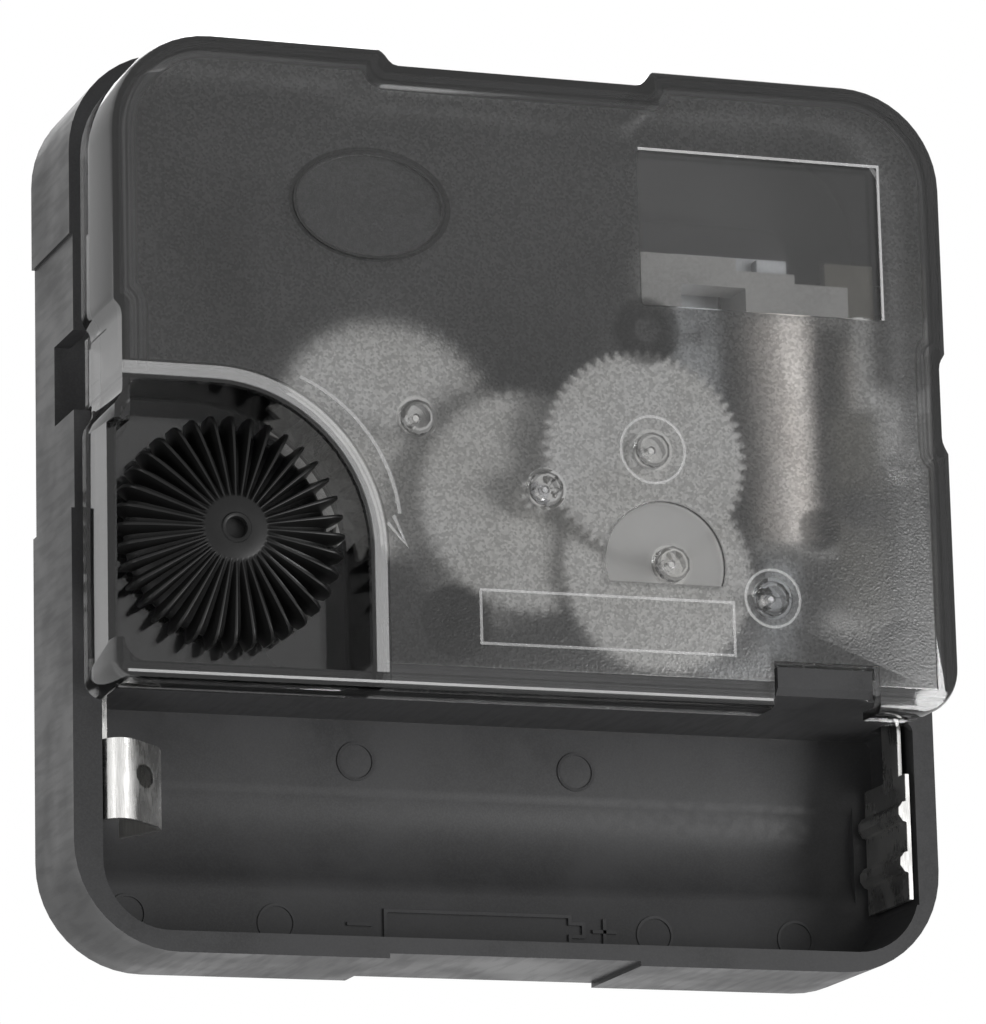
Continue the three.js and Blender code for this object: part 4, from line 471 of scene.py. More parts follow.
def new_group(name, inputs, outputs):
    """An empty shader node group with float inputs and outputs, and its two end nodes."""
    group = bpy.data.node_groups.new(name, "ShaderNodeTree")
    for label, default in inputs.items():
        socket = group.interface.new_socket(label, in_out="INPUT", socket_type="NodeSocketFloat")
        socket.default_value = default
    for label in outputs:
        group.interface.new_socket(label, in_out="OUTPUT", socket_type="NodeSocketFloat")
    return group, group.nodes.new("NodeGroupInput").outputs, group.nodes.new("NodeGroupOutput").inputs


def moulded_grain_group():
    """Fine spark-eroded texture of a mould: a height and a mask of darker pits."""
    group, given, result = new_group("Moulded grain", {"Cell": 0.2 * MM}, ("Height", "Pits"))
    place = add_node(group, "ShaderNodeTexCoord").outputs["Object"]
    scale = math_node(group, "DIVIDE", 1.0, given["Cell"])
    fine = add_node(group, "ShaderNodeTexNoise", {
        "Vector": place, "Scale": scale, "Detail": 2.0, "Roughness": 0.6,
    })
    cells = add_node(group, "ShaderNodeTexVoronoi", {"Vector": place, "Scale": scale}, feature="SMOOTH_F1")
    height = plus(group, fine.outputs["Fac"], times(group, cells.outputs["Distance"], 0.6))
    specks = add_node(group, "ShaderNodeTexVoronoi", {"Vector": place, "Scale": scale}, feature="F1")
    shade = add_node(group, "ShaderNodeSeparateColor", {0: specks.outputs["Color"]}).outputs[0]
    group.links.new(height, result["Height"])
    group.links.new(ramp(group, shade, 1.0, 0.1), result["Pits"])
    return group


def handling_group():
    """Broad, soft patches where hands and the mould leave a surface a little shinier or duller."""
    group, given, result = new_group("Handling", {"Size": 8 * MM}, ("Mask", "Streaks"))
    place = add_node(group, "ShaderNodeTexCoord").outputs["Object"]
    scale = math_node(group, "DIVIDE", 1.0, given["Size"])
    patches = add_node(group, "ShaderNodeTexNoise", {
        "Vector": place, "Scale": scale, "Detail": 3.0, "Roughness": 0.55,
    })
    stretched = add_node(group, "ShaderNodeVectorMath", {0: place, 1: (1.0, 0.12, 1.0)}, operation="MULTIPLY")
    streaks = add_node(group, "ShaderNodeTexNoise", {
        "Vector": stretched.outputs[0], "Scale": times(group, scale, 14.0), "Detail": 2.0,
    })
    group.links.new(ramp(group, patches.outputs["Fac"], 0.35, 0.68), result["Mask"])
    group.links.new(ramp(group, streaks.outputs["Fac"], 0.4, 0.65), result["Streaks"])
    return group


def brushing_group():
    """Fine drawn lines of rolled or turned metal."""
    group, given, result = new_group("Brushing", {"Line": 0.05 * MM, "Turned": 0.0}, ("Height", "Mask"))
    place = add_node(group, "ShaderNodeTexCoord").outputs["Object"]
    scale = math_node(group, "DIVIDE", 1.0, given["Line"])
    rolled = add_node(group, "ShaderNodeVectorMath", {0: place, 1: (1.0, 1.0, 0.05)}, operation="MULTIPLY")
    turned = add_node(group, "ShaderNodeVectorMath", {0: place, 1: (0.04, 1.0, 0.04)}, operation="MULTIPLY")
    chosen = add_node(group, "ShaderNodeMix", {0: given["Turned"]}, data_type="VECTOR")
    group.links.new(rolled.outputs[0], chosen.inputs[4])
    group.links.new(turned.outputs[0], chosen.inputs[5])
    lines = add_node(group, "ShaderNodeTexNoise", {
        "Vector": chosen.outputs[1], "Scale": scale, "Detail": 3.0,
    })
    group.links.new(lines.outputs["Fac"], result["Height"])
    group.links.new(ramp(group, lines.outputs["Fac"], 0.35, 0.7), result["Mask"])
    return group


GROUP_MAKERS = {
    "Moulded grain": moulded_grain_group,
    "Handling": handling_group,
    "Brushing": brushing_group,
}


def effect(tree, name, **inputs):
    """The shared effect of that name in this material, built the first time that it is used."""
    node = tree.nodes.new("ShaderNodeGroup")
    node.node_tree = bpy.data.node_groups.get(name) or GROUP_MAKERS[name]()
    for key, value in inputs.items():
        node.inputs[key].default_value = value
    return node.outputs


def new_material(name):
    """A material with its node tree, its Principled shader and its output node."""
    found = bpy.data.materials.get(name)
    if found:
        bpy.data.materials.remove(found)
    material = bpy.data.materials.new(name)
    material.use_nodes = True
    tree = material.node_tree
    return material, tree, tree.nodes["Principled BSDF"], tree.nodes["Material Output"]


def moulded_plastic(name, colour, roughness=0.45, cell=0.09 * MM, depth=0.002 * MM, gloss=0.2):
    """Opaque moulded plastic with a satin grain, faint patches and flow streaks."""
    material, tree, shader, _ = new_material(name)
    shader.inputs["Specular IOR Level"].default_value = gloss
    grain = effect(tree, "Moulded grain", Cell=cell)
    patches = effect(tree, "Handling")
    tint = mix_colour(tree, grain["Pits"], opaque(scaled(colour, 1.06)), opaque(scaled(colour, 0.86)))
    tint = mix_colour(tree, times(tree, patches["Mask"], 0.5), tint, opaque(scaled(colour, 1.35)))
    tree.links.new(tint, shader.inputs["Base Color"])
    duller = times(tree, patches["Mask"], 0.14)
    streaky = times(tree, patches["Streaks"], 0.06)
    tree.links.new(plus(tree, plus(tree, duller, streaky), roughness - 0.1), shader.inputs["Roughness"])
    bump = add_node(tree, "ShaderNodeBump", {"Height": grain["Height"], "Distance": depth, "Strength": 1.0})
    tree.links.new(bump.outputs["Normal"], shader.inputs["Normal"])
    return material


def worked_metal(name, colour, roughness=0.25, line=0.05 * MM, turned=0.0, depth=0.002 * MM):
    """Metal with drawn or turned lines, and dull patches of handling."""
    material, tree, shader, _ = new_material(name)
    lines = effect(tree, "Brushing", Line=line, Turned=turned)
    patches = effect(tree, "Handling", Size=3 * MM)
    tint = mix_colour(tree, lines["Mask"], opaque(scaled(colour, 0.86)), opaque(scaled(colour, 1.08)))
    tint = mix_colour(tree, times(tree, patches["Mask"], 0.35), tint, opaque(scaled(colour, 0.7)))
    tree.links.new(tint, shader.inputs["Base Color"])
    shader.inputs["Metallic"].default_value = 1.0
    rough = plus(tree, times(tree, patches["Mask"], 0.18), times(tree, lines["Mask"], 0.08))
    tree.links.new(plus(tree, rough, roughness - 0.08), shader.inputs["Roughness"])
    bump = add_node(tree, "ShaderNodeBump", {"Height": lines["Height"], "Distance": depth, "Strength": 1.0})
    tree.links.new(bump.outputs["Normal"], shader.inputs["Normal"])
    return material


def box_distance(tree, x, y, left, right, low, high, corner=0.0):
    """Distance outside a rounded rectangle in the x-y plane, negative inside it."""
    across = math_node(tree, "ABSOLUTE", minus(tree, x, (left + right) / 2))
    along = math_node(tree, "ABSOLUTE", minus(tree, y, (low + high) / 2))
    over_x = minus(tree, across, (right - left) / 2 - corner)
    over_y = minus(tree, along, (high - low) / 2 - corner)
    past_x = larger(tree, over_x, 0.0)
    past_y = larger(tree, over_y, 0.0)
    square = plus(tree, times(tree, past_x, past_x), times(tree, past_y, past_y))
    inside = math_node(tree, "MINIMUM", larger(tree, over_x, over_y), 0.0)
    return minus(tree, plus(tree, math_node(tree, "SQRT", square), inside), corner)


def oval_distance(tree, x, y, centre, half_width, half_height):
    """Rough distance outside an oval in the x-y plane, negative inside it."""
    across = math_node(tree, "DIVIDE", minus(tree, x, centre[0]), half_width)
    along = math_node(tree, "DIVIDE", minus(tree, y, centre[1]), half_height)
    square = plus(tree, times(tree, across, across), times(tree, along, along))
    return times(tree, minus(tree, math_node(tree, "SQRT", square), 1.0), half_height)


def line_mask(tree, distance, place, width):
    """One on a thin line at a given distance, zero beside it."""
    away = math_node(tree, "ABSOLUTE", minus(tree, distance, place))
    return ramp(tree, away, width / 2 + LINE_FADE_OUT, width / 2 - LINE_FADE_IN)


def strongest(tree, *masks):
    """The strongest of several masks at each point."""
    most = masks[0]
    for mask in masks[1:]:
        most = larger(tree, most, mask)
    return most


def cover_place(tree):
    """Bench x, y and z of a point of the cover, in millimetres."""
    place = add_node(tree, "ShaderNodeTexCoord").outputs["Object"]
    axes = add_node(tree, "ShaderNodeSeparateXYZ", {0: place}).outputs
    return (times(tree, axes["X"], 1 / MM), times(tree, axes["Z"], 1 / MM),
            times(tree, axes["Y"], -1 / MM))


def cover_outline(tree, x, y):
    """Distance outside the cover's outline with its three notches, negative inside it."""
    box = box_distance(tree, x, y, COVER_LOW.x, COVER_HIGH.x, COVER_LOW.y - COVER_CORNER, COVER_HIGH.y,
                       COVER_CORNER)
    edge = larger(tree, box, minus(tree, COVER_LOW.y, y))
    upright = (SIDE_NOTCH_LOW, SIDE_NOTCH_HIGH)
    notches = (
        (NOTCH_LEFT, NOTCH_RIGHT, COVER_HIGH.y - NOTCH_DEPTH, COVER_HIGH.y + COVER_CORNER),
        (COVER_LOW.x - COVER_CORNER, COVER_LOW.x + SIDE_NOTCH_DEPTH, *upright),
        (COVER_HIGH.x - SIDE_NOTCH_DEPTH, COVER_HIGH.x + COVER_CORNER, *upright),
    )
    for notch in notches:
        edge = larger(tree, edge, times(tree, box_distance(tree, x, y, *notch), -1.0))
    return edge


def well_distance(tree, x, y):
    """Distance outside the knob well in the x-y plane, negative inside it."""
    arc_x, arc_y = WELL_RIGHT - WELL_ARC, WELL_HIGH - WELL_ARC
    arc = oval_distance(tree, x, y, (arc_x, arc_y), WELL_ARC, WELL_ARC)
    past_x = minus(tree, x, arc_x)
    past_y = minus(tree, y, arc_y)
    beside = minus(tree, larger(tree, past_x, past_y), WELL_ARC)
    in_corner = math_node(tree, "GREATER_THAN", math_node(tree, "MINIMUM", past_x, past_y), 0.0)
    turned = times(tree, arc, in_corner)
    straight = times(tree, beside, minus(tree, 1.0, in_corner))
    return plus(tree, turned, straight)


def cover_masks(tree):
    """Masks of the cover: its textured face, its finely textured eye, and where shade is painted on it."""
    x, y, z = cover_place(tree)
    edge = cover_outline(tree, x, y)
    well = well_distance(tree, x, y)
    window = box_distance(tree, x, y, *WINDOW, WINDOW_CORNER)
    eye_centre = (EYE_AXIS[0] - EYE_SHIFT, EYE_AXIS[1])
    eye = larger(tree, oval_distance(tree, x, y, eye_centre, EYE_RADIUS, EYE_RADIUS),
                 minus(tree, EYE_AXIS[1] - EYE_FLAT, y))
    oval = oval_distance(tree, x, y, OVAL_CENTRE, *OVAL_HALF)
    bumps = [oval_distance(tree, x, y, axis, BUMP_RADIUS, BUMP_RADIUS) for axis in WHEEL_AXES]
    face = ramp(tree, z, COVER_FACE - FACE_FADE_LOW, COVER_FACE - FACE_FADE_HIGH)
    frosted = times(tree, ramp(tree, edge, -COVER_MARGIN, -COVER_MARGIN - FADE), face)
    for distance, gap in [(well, WELL_LIP), (window, 0.0), (eye, 0.0)] + [(bump, 0.0) for bump in bumps]:
        frosted = times(tree, frosted, ramp(tree, distance, gap, gap + FADE))
    calmer = times(tree, ramp(tree, oval, 0.0, -SOFT_FADE), OVAL_CALM_SHARE)
    frosted = times(tree, frosted, minus(tree, 1.0, calmer))
    veil = ramp(tree, eye, 0.0, -FADE)
    for bump in bumps:
        veil = times(tree, veil, ramp(tree, bump, 0.0, FADE))
    # Painted shade: the well, the cover's walls and rim, and thin lines along its edges, grooves, oval, eye
    # and bump rings are darkened in the colour.
    in_well = ramp(tree, well, 0.0, -SOFT_FADE)
    outside_well = minus(tree, 1.0, in_well)
    wall = ramp(tree, edge, -RIM_WIDTH - RIM_FADE, -RIM_WIDTH + RIM_FADE)
    rim = times(tree, wall, ramp(tree, z, RIM_LOW, RIM_LOW + RIM_RISE))
    lines = [(edge, GROOVE_LINE), (edge, MARGIN_LINE), (well, WELL_LIP_LINE), (well, WELL_EDGE_LINE),
             (oval, OVAL_LINE), (eye, EYE_LINE)] + [(bump, BUMP_LINE) for bump in bumps]
    painted_shade = strongest(
        tree,
        times(tree, rim, RIM_SHADE),
        times(tree, wall, WALL_SHADE),
        times(tree, in_well, WELL_SHADE),
        *[times(tree, line_mask(tree, distance, place, width), shade)
          for distance, (place, width, shade) in lines],
    )
    # Painted shade: a dark disc on the cover over each pillar beneath it, with its middle left unshaded where
    # given.
    for centre_x, centre_y, radius, eyelet in PILLARS:
        spot = oval_distance(tree, x, y, (centre_x, centre_y), radius, radius)
        inside = times(tree, ramp(tree, spot, *PILLAR_FADE), PILLAR_SHADE)
        if eyelet:
            low, high = PILLAR_EYE_FADE
            around = ramp(tree, spot, eyelet - radius + low, eyelet - radius + high)
            inside = times(tree, inside, around)
        painted_shade = strongest(tree, painted_shade, times(tree, inside, outside_well))
    return frosted, veil, painted_shade


# Tints of the cover where it is clear, frosted, veiled, pitted, painted with shade and handled.
CLEAR_TINT = (0.97, 0.97, 0.97)
FROST_TINT = (0.7, 0.7, 0.7)
VEIL_TINT = (0.62, 0.62, 0.62)
PIT_TINT = (0.3, 0.3, 0.3)
PAINTED_SHADE_TINT = (0.012, 0.012, 0.012)
WORN_TINT = (0.85, 0.85, 0.85)
GRAIN_DEPTH = 0.018 * MM
COVER_IOR = 1.49
COVER_GLOSS = 0.15


def smoky_cover(finishes, name="Smoky cover", haze=None, marked=True):
    """See-through smoky plastic, frosted by a moulded texture except at its margins and windows, with shade
    painted over its rims, well, edge lines and pillars.
    """
    material, tree, shader, output = new_material(name)
    patches = effect(tree, "Handling", Size=10 * MM)
    rough = plus(tree, times(tree, patches["Mask"], 0.05), 0.04)
    clear = opaque(CLEAR_TINT)
    if marked:
        frosted, veil, painted_shade = cover_masks(tree)
        grain = effect(tree, "Moulded grain", Cell=finishes.grain_size)
        light = mix_colour(tree, frosted, clear, opaque(FROST_TINT))
        light = mix_colour(tree, veil, light, opaque(VEIL_TINT))
        pits = times(tree, grain["Pits"], frosted)
        colour = mix_colour(tree, pits, light, opaque(PIT_TINT))
        # Painted shade: the cover turns near-black wherever the shade mask is strong.
        colour = mix_colour(tree, painted_shade, colour, opaque(PAINTED_SHADE_TINT))
        tree.links.new(colour, shader.inputs["Base Color"])
        rough = plus(tree, rough, times(tree, frosted, finishes.frost))
        rough = plus(tree, rough, times(tree, veil, finishes.frost * 2))
        height = times(tree, grain["Height"], frosted)
        bump = add_node(tree, "ShaderNodeBump", {"Height": height, "Distance": GRAIN_DEPTH, "Strength": 1.0})
        tree.links.new(bump.outputs["Normal"], shader.inputs["Normal"])
    else:
        colour = mix_colour(tree, patches["Mask"], clear, opaque(WORN_TINT))
        tree.links.new(colour, shader.inputs["Base Color"])
    tree.links.new(rough, shader.inputs["Roughness"])
    shader.inputs["Transmission Weight"].default_value = 1.0 - (finishes.cover_haze if haze is None else haze)
    shader.inputs["IOR"].default_value = COVER_IOR
    shader.inputs["Specular IOR Level"].default_value = COVER_GLOSS
    path = add_node(tree, "ShaderNodeLightPath").outputs
    passed = add_node(tree, "ShaderNodeBsdfTransparent", {"Color": clear})
    through = larger(tree, path["Is Shadow Ray"], path["Is Diffuse Ray"])
    mixed = add_node(tree, "ShaderNodeMixShader", {0: through})
    tree.links.new(shader.outputs[0], mixed.inputs[1])
    tree.links.new(passed.outputs[0], mixed.inputs[2])
    tree.links.new(mixed.outputs[0], output.inputs["Surface"])
    smoke = add_node(tree, "ShaderNodeVolumeAbsorption", {
        "Color": opaque(finishes.smoke_colour), "Density": finishes.smoke_density,
    })
    tree.links.new(smoke.outputs[0], output.inputs["Volume"])
    return material


FINISH_CACHE = {}

# The finish of each piece that keeps the CAD node's own shape: node, new name, finish, slot.
PLAIN_PIECES = (
    ("middle_plate", "middle_plate_moulding", "inner", "inner_plastic"),
    ("stator", "stator_stamping", "iron", "soft_iron"),
    ("coil_core", "coil_core_bar", "iron", "soft_iron"),
    ("coil_bobbin", "coil_bobbin_moulding", "bobbin", "bobbin_plastic"),
    ("circuit_board", "circuit_board_panel", "board", "board_laminate"),
    ("chip_cap", "chip_cap_blob", "epoxy", "epoxy"),
    ("quartz_crystal", "quartz_crystal_can", "nickel", "nickel"),
    ("setting_wheel", "setting_wheel_gear", "knob", "knob_plastic"),
    ("minute_wheel", "minute_wheel_gear", "gear", "gear_plastic"),
    ("cannon_pinion", "cannon_pinion_tube", "steel", "steel"),
    ("hour_wheel", "hour_wheel_tube", "inner", "inner_plastic"),
    ("centre_wheel", "centre_wheel_gear", "gear", "gear_plastic"),
    ("seconds_wheel", "seconds_wheel_gear", "gear", "gear_plastic"),
    ("seconds_arbor", "seconds_arbor_shaft", "steel", "steel"),
    ("intermediate_wheel", "intermediate_wheel_gear", "gear", "gear_plastic"),
    ("third_wheel", "third_wheel_gear", "gear", "gear_plastic"),
    ("rotor_pinion", "rotor_pinion_arbor", "steel", "steel"),
    ("rotor_magnet", "rotor_magnet_ring", "magnet", "ferrite"),
)


def finish_for(key):
    """The material of that name, made once from the scene's colours."""
    finishes = bpy.context.scene.movement_finishes
    makers = {
        "case": lambda: moulded_plastic("Case plastic", finishes.case_colour, 0.42, finishes.case_grain),
        "knob": lambda: moulded_plastic("Knob plastic", finishes.knob_colour, 0.4, finishes.case_grain),
        "inner": lambda: moulded_plastic("Inner plastic", finishes.inner_colour, 0.5, 0.3 * MM, 0.001 * MM),
        "gear": lambda: moulded_plastic("Gear plastic", finishes.wheel_colour, 0.45, 0.15 * MM),
        "bobbin": lambda: moulded_plastic("Bobbin plastic", finishes.bobbin_colour, 0.45, 0.15 * MM),
        "magnet": lambda: moulded_plastic(
            "Magnet ferrite", finishes.magnet_colour, 0.5, 0.06 * MM, 0.004 * MM),
        "epoxy": lambda: moulded_plastic("Epoxy", finishes.epoxy_colour, 0.2, 0.3 * MM, 0.004 * MM),
        "board": lambda: moulded_plastic("Board laminate", finishes.board_colour, 0.4, 0.25 * MM, 0.006 * MM),
        "brass": lambda: worked_metal("Turned brass", finishes.brass_colour, 0.26, turned=1.0),
        "steel": lambda: worked_metal("Bright steel", finishes.steel_colour, 0.22, turned=1.0),
        "nickel": lambda: worked_metal("Nickel strip", finishes.nickel_colour, 0.26),
        "iron": lambda: worked_metal("Soft iron", finishes.iron_colour, 0.42),
        "copper": lambda: worked_metal("Enamelled wire", finishes.copper_colour, 0.62),
        "cover": lambda: smoky_cover(finishes),
        "ridge": lambda: smoky_cover(finishes, "Cover ridges highlight", finishes.ridge_haze, marked=False),
        "glint": lambda: smoky_cover(finishes, "Window edge highlight", finishes.glint_haze, marked=False),
        "border": lambda: smoky_cover(finishes, "Well border highlight", finishes.ridge_haze, marked=False),
    }
    made = FINISH_CACHE.get(key)
    if made is None:
        made = makers[key]()
        FINISH_CACHE[key] = made
    return made


class MOVEMENT_OT_case(bpy.types.Operator):
    """Front case with eased edges, ejector rings and the marks of the battery bay"""
    bl_idname = "movement.case"
    bl_label = "Front case"

    def execute(self, context):
        sizes = context.scene.movement_sizes
        plastic = finish_for("case")
        eased_copy("front_case", "case_moulding", plastic, sizes.case_round)
        rings = bmesh.new()
        heights = (BAY_LEDGE - MARK_RISE, BAY_LEDGE + MARK_RISE)
        for centre in SHELF_RINGS + LEDGE_RINGS:
            band(rings, circle_path(centre, RING_RADIUS), RING_WIDTH, *heights, True)
        piece_from(rings, "ejector_rings", plastic, "housing")
        marks = bmesh.new()
        left, right, low, high = CELL_MARK
        reach, inset = CELL_NIPPLE
        middle = (low + high) / 2
        half = (high - low) / 2 - inset / 2
        outline = [(left, low), (right, low), (right, middle - half), (right + reach, middle - half),
                   (right + reach, middle + half), (right, middle + half), (right, high), (left, high)]
        heights = (BAY_LEDGE - MARK_RISE, BAY_LEDGE + 2 * MARK_RISE)
        band(marks, outline, MARK_LINE, *heights, True)
        long, thin = SIGN_HALF, MARK_LINE / 2
        for centre, bars in ((MINUS_CENTRE, [(long, thin)]), (PLUS_CENTRE, [(long, thin), (thin, long)])):
            x, y = centre
            for across, along in bars:
                extrude_outline(marks, box_path(x - across, x + across, y - along, y + along), *heights)
        piece_from(marks, "cell_marks", plastic, "housing")
        return {"FINISHED"}


class MOVEMENT_OT_cover(bpy.types.Operator):
    """Smoky rear cover with its direction arrow, the plain frame below the wheels, and light bands of painted
    highlight along the window, lower lip and well
    """
    bl_idname = "movement.cover"
    bl_label = "Rear cover"

    def execute(self, context):
        sizes = context.scene.movement_sizes
        smoke = finish_for("cover")
        eased_copy("rear_cover", "cover_moulding", smoke, sizes.cover_round)
        lines = bmesh.new()
        heights = (COVER_FACE + SEAT_GAP, COVER_FACE + MARK_RISE)
        arc = arc_path(KNOB_AXIS, ARROW_RADIUS, ARROW_FROM_DEG, ARROW_TO_DEG)
        band(lines, arc, ARROW_WIDTH, *heights)
        band(lines, ARROW_HEAD, ARROW_WIDTH, *heights)
        band(lines, box_path(*STRIP_FRAME), STRIP_LINE, *heights, True)
        for x, y, radius in RINGS:
            band(lines, circle_path((x, y), radius), STRIP_LINE, *heights, True)
        # The arrow, frame and rings are real raised lines; their hazier, lighter finish is a painted
        # highlight.
        piece_from(lines, "cover_lines", finish_for("ridge"), "housing")
        # Painted highlight: thin raised bands of hazy plastic along the window's top and right edges and
        # along the lower lip, where the real cover only has edges that catch light.
        left, right, low, high = WINDOW
        glint = bmesh.new()
        band(glint, [(left, high), (right, high), (right, low)], STRIP_LINE, *heights)
        lip = COVER_LOW.y + LIP_INSET
        band(glint, [(COVER_LOW.x + COVER_MARGIN / 2, lip), (HOOK_LEFT, lip)], STRIP_LINE, *heights)
        piece_from(glint, "window_edge_highlight", finish_for("glint"), "housing")
        # The well's border is a raised lip; its hazy, lighter finish is a painted highlight.
        offset = (WELL_LIP + STRIP_LINE) / 2
        centre = (WELL_RIGHT - WELL_ARC, WELL_HIGH - WELL_ARC)
        border = [(WELL_LEFT, WELL_HIGH + offset)] + arc_path(centre, WELL_ARC + offset, 90, 0)
        border.append((WELL_RIGHT + offset, WELL_LOW))
        rim = bmesh.new()
        band(rim, border, WELL_LIP - 2 * STRIP_LINE, COVER_FACE + SEAT_GAP, COVER_FACE + BORDER_RISE)
        piece_from(rim, "well_border", finish_for("border"), "housing")
        return {"FINISHED"}


# Setting knob, in bench millimetres.
KNOB_HUB_RADIUS = 2.0
KNOB_EYE_RADIUS = 0.68
KNOB_EYE_LIP = 0.2
KNOB_EYE_FOOT = 0.28
KNOB_EYE_RISE = 0.1
KNOB_EDGE = 0.06
KNOB_BASE_EDGE = 0.15
KNOB_BASE_TAPER = 0.1
KNOB_RIBS = 36
KNOB_FACE = 14.3
KNOB_BORE = 1.25
KNOB_ROOF = 0.5
RIB_STEPS = 12
RIB_DEPTH_SHARE = 0.16
RIB_FLANK_SHARES = (0.3, 0.6)
# Crest and valley of a rib, from the hub outwards, as shares of the hub's distance from the rim.
RIB_CREST_SHARES = (
    (0.03, 0.006), (0.25, 0.014), (0.55, 0.03), (0.8, 0.055), (0.9, 0.078), (0.97, 0.13), (1.0, 0.23),
)
RIB_VALLEY_SHARES = (
    (0.03, 0.05), (0.2, 0.13), (0.42, 0.2), (0.6, 0.27), (0.72, 0.32), (0.79, 0.37), (0.84, 0.42),
)


def knob_rows(radius, low):
    """Rows of the knob from its eye round to its bore: a crest point, and its valley point or none."""
    top, roof = KNOB_FACE, KNOB_FACE - KNOB_ROOF
    drop = radius - KNOB_HUB_RADIUS
    raised = top + KNOB_EYE_RISE
    smooth = [
        (KNOB_EYE_RADIUS, roof), (KNOB_EYE_RADIUS, top + KNOB_EDGE), (KNOB_EYE_RADIUS + KNOB_EDGE, raised),
        (KNOB_EYE_RADIUS + KNOB_EYE_LIP, raised), (KNOB_EYE_RADIUS + KNOB_EYE_FOOT, top),
        (KNOB_HUB_RADIUS - 2 * KNOB_EDGE, top), (KNOB_HUB_RADIUS, top - KNOB_EDGE),
    ]
    rows = [(point, None) for point in smooth]
    for crest, valley in zip(RIB_CREST_SHARES, RIB_VALLEY_SHARES):
        rows.append(tuple((KNOB_HUB_RADIUS + out * drop, top - down * drop) for out, down in (crest, valley)))
    root = radius - RIB_DEPTH_SHARE * drop
    rows.append(((radius, low + KNOB_BASE_EDGE), (root, low + KNOB_BASE_EDGE)))
    rows.append(((radius - KNOB_BASE_EDGE, low), (root - KNOB_BASE_TAPER, low)))
    return rows + [((KNOB_BORE, low), None), ((KNOB_BORE, roof), None)]


def rib_ridge(step):
    """One on the crest of a rib, zero in the valley beside it."""
    phase = abs((step % RIB_STEPS) / RIB_STEPS - 0.5) * 2
    start, width = RIB_FLANK_SHARES
    ridge = min(max((phase - start) / width, 0.0), 1.0)
    return ridge * ridge * (3 - 2 * ridge)


class MOVEMENT_OT_knob(bpy.types.Operator):
    """Ribbed setting knob with a flat hub and an eye in its middle"""
    bl_idname = "movement.knob"
    bl_label = "Setting knob"

    def execute(self, context):
        radius = (KNOB_HIGH.x - KNOB_LOW.x) / 2
        around = KNOB_RIBS * RIB_STEPS
        rings = []
        for crest, valley in knob_rows(radius, KNOB_LOW.z):
            inner = valley or crest
            ring = []
            for step in range(around):
                ridge = rib_ridge(step)
                r, z = (inner[i] + (crest[i] - inner[i]) * ridge for i in (0, 1))
                turn = 2 * math.pi * step / around
                ring.append((KNOB_AXIS[0] + r * math.cos(turn), KNOB_AXIS[1] + r * math.sin(turn), z))
            rings.append(ring)
        bm = bmesh.new()
        skin_rows(bm, rings, closed=True)
        piece_from(bm, "knob_ribs", finish_for("knob"), "knob", ("setting_knob",), 50)
        return {"FINISHED"}


class MOVEMENT_OT_contacts(bpy.types.Operator):
    """Nickel-plated battery contacts with eased edges"""
    bl_idname = "movement.contacts"
    bl_label = "Battery contacts"

    def execute(self, context):
        sizes = context.scene.movement_sizes
        nickel = finish_for("nickel")
        eased_copy("negative_contact", "negative_leaf", nickel, sizes.strip_round)
        eased_copy("positive_contact", "positive_plate", nickel, sizes.strip_round)
        return {"FINISHED"}


class MOVEMENT_OT_train(bpy.types.Operator):
    """Wheels, plate, motor and board that keep their own shape, each with its finish"""
    bl_idname = "movement.train"
    bl_label = "Wheels and motor"

    def execute(self, context):
        for node, name, finish, slot in PLAIN_PIECES:
            eased_copy(node, name, finish_for(finish))
        return {"FINISHED"}


# Threaded bush, in bench millimetres.
BUSH_BORE = 2.65
BUSH_RADIUS = 4.0
BUSH_FLANGE = 5.2
BUSH_FLANGE_HIGH = 0.8
BUSH_EDGE = 0.1
BUSH_LEAD_IN = 0.2
THREAD_RELIEF = 0.25
THREAD_START = 0.02
THREAD_END = 0.3
THREAD_LEAD = 0.5
THREAD_STEPS = 72
THREAD_ROWS = 10
THREAD_FLANK_SHARES = (0.12, 0.76)


class MOVEMENT_OT_bush(bpy.types.Operator):
    """Brass bush with a real helical thread"""
    bl_idname = "movement.bush"
    bl_label = "Threaded bush"

    def execute(self, context):
        sizes = context.scene.movement_sizes
        pitch = sizes.thread_pitch / MM
        depth = sizes.thread_depth / MM
        bore, radius, flange, edge = BUSH_BORE, BUSH_RADIUS, BUSH_FLANGE, BUSH_EDGE
        low, high = BUSH_LOW.z, BUSH_HIGH.z
        shoulder = high - BUSH_FLANGE_HIGH
        root = radius - depth
        mouth = [(bore, low + BUSH_LEAD_IN), (bore + BUSH_LEAD_IN, low), (root - edge, low)]
        rows = [(r, z, False) for r, z in mouth]
        count = int((shoulder - low - BUSH_LEAD_IN) / pitch * THREAD_ROWS)
        for i in range(count + 1):
            rows.append((radius, low + THREAD_START + (shoulder - THREAD_END - low) * i / count, True))
        flat = [(root, shoulder - THREAD_RELIEF), (root, shoulder), (flange - edge, shoulder),
                (flange, shoulder + edge), (flange, high - edge), (flange - edge, high), (bore + edge, high),
                (bore, high - edge)]
        rows += [(r, z, False) for r, z in flat]
        start, width = THREAD_FLANK_SHARES
        rings = []
        for r, z, threaded in rows:
            ring = []
            for step in range(THREAD_STEPS):
                turn = 2 * math.pi * step / THREAD_STEPS
                here = r
                if threaded:
                    phase = ((z - low) / pitch - step / THREAD_STEPS) % 1.0
                    groove = 1 - abs(phase - 0.5) * 2
                    groove = min(max((groove - start) / width, 0.0), 1.0)
                    lead = min((z - low) / THREAD_LEAD, 1.0)
                    here = r - depth * max(groove, 1 - lead)
                ring.append((here * math.cos(turn), here * math.sin(turn), z))
            rings.append(ring)
        bm = bmesh.new()
        skin_rows(bm, rings, closed=True)
        piece_from(bm, "bush_thread", finish_for("brass"), "housing", ("threaded_bush",), 60)
        return {"FINISHED"}


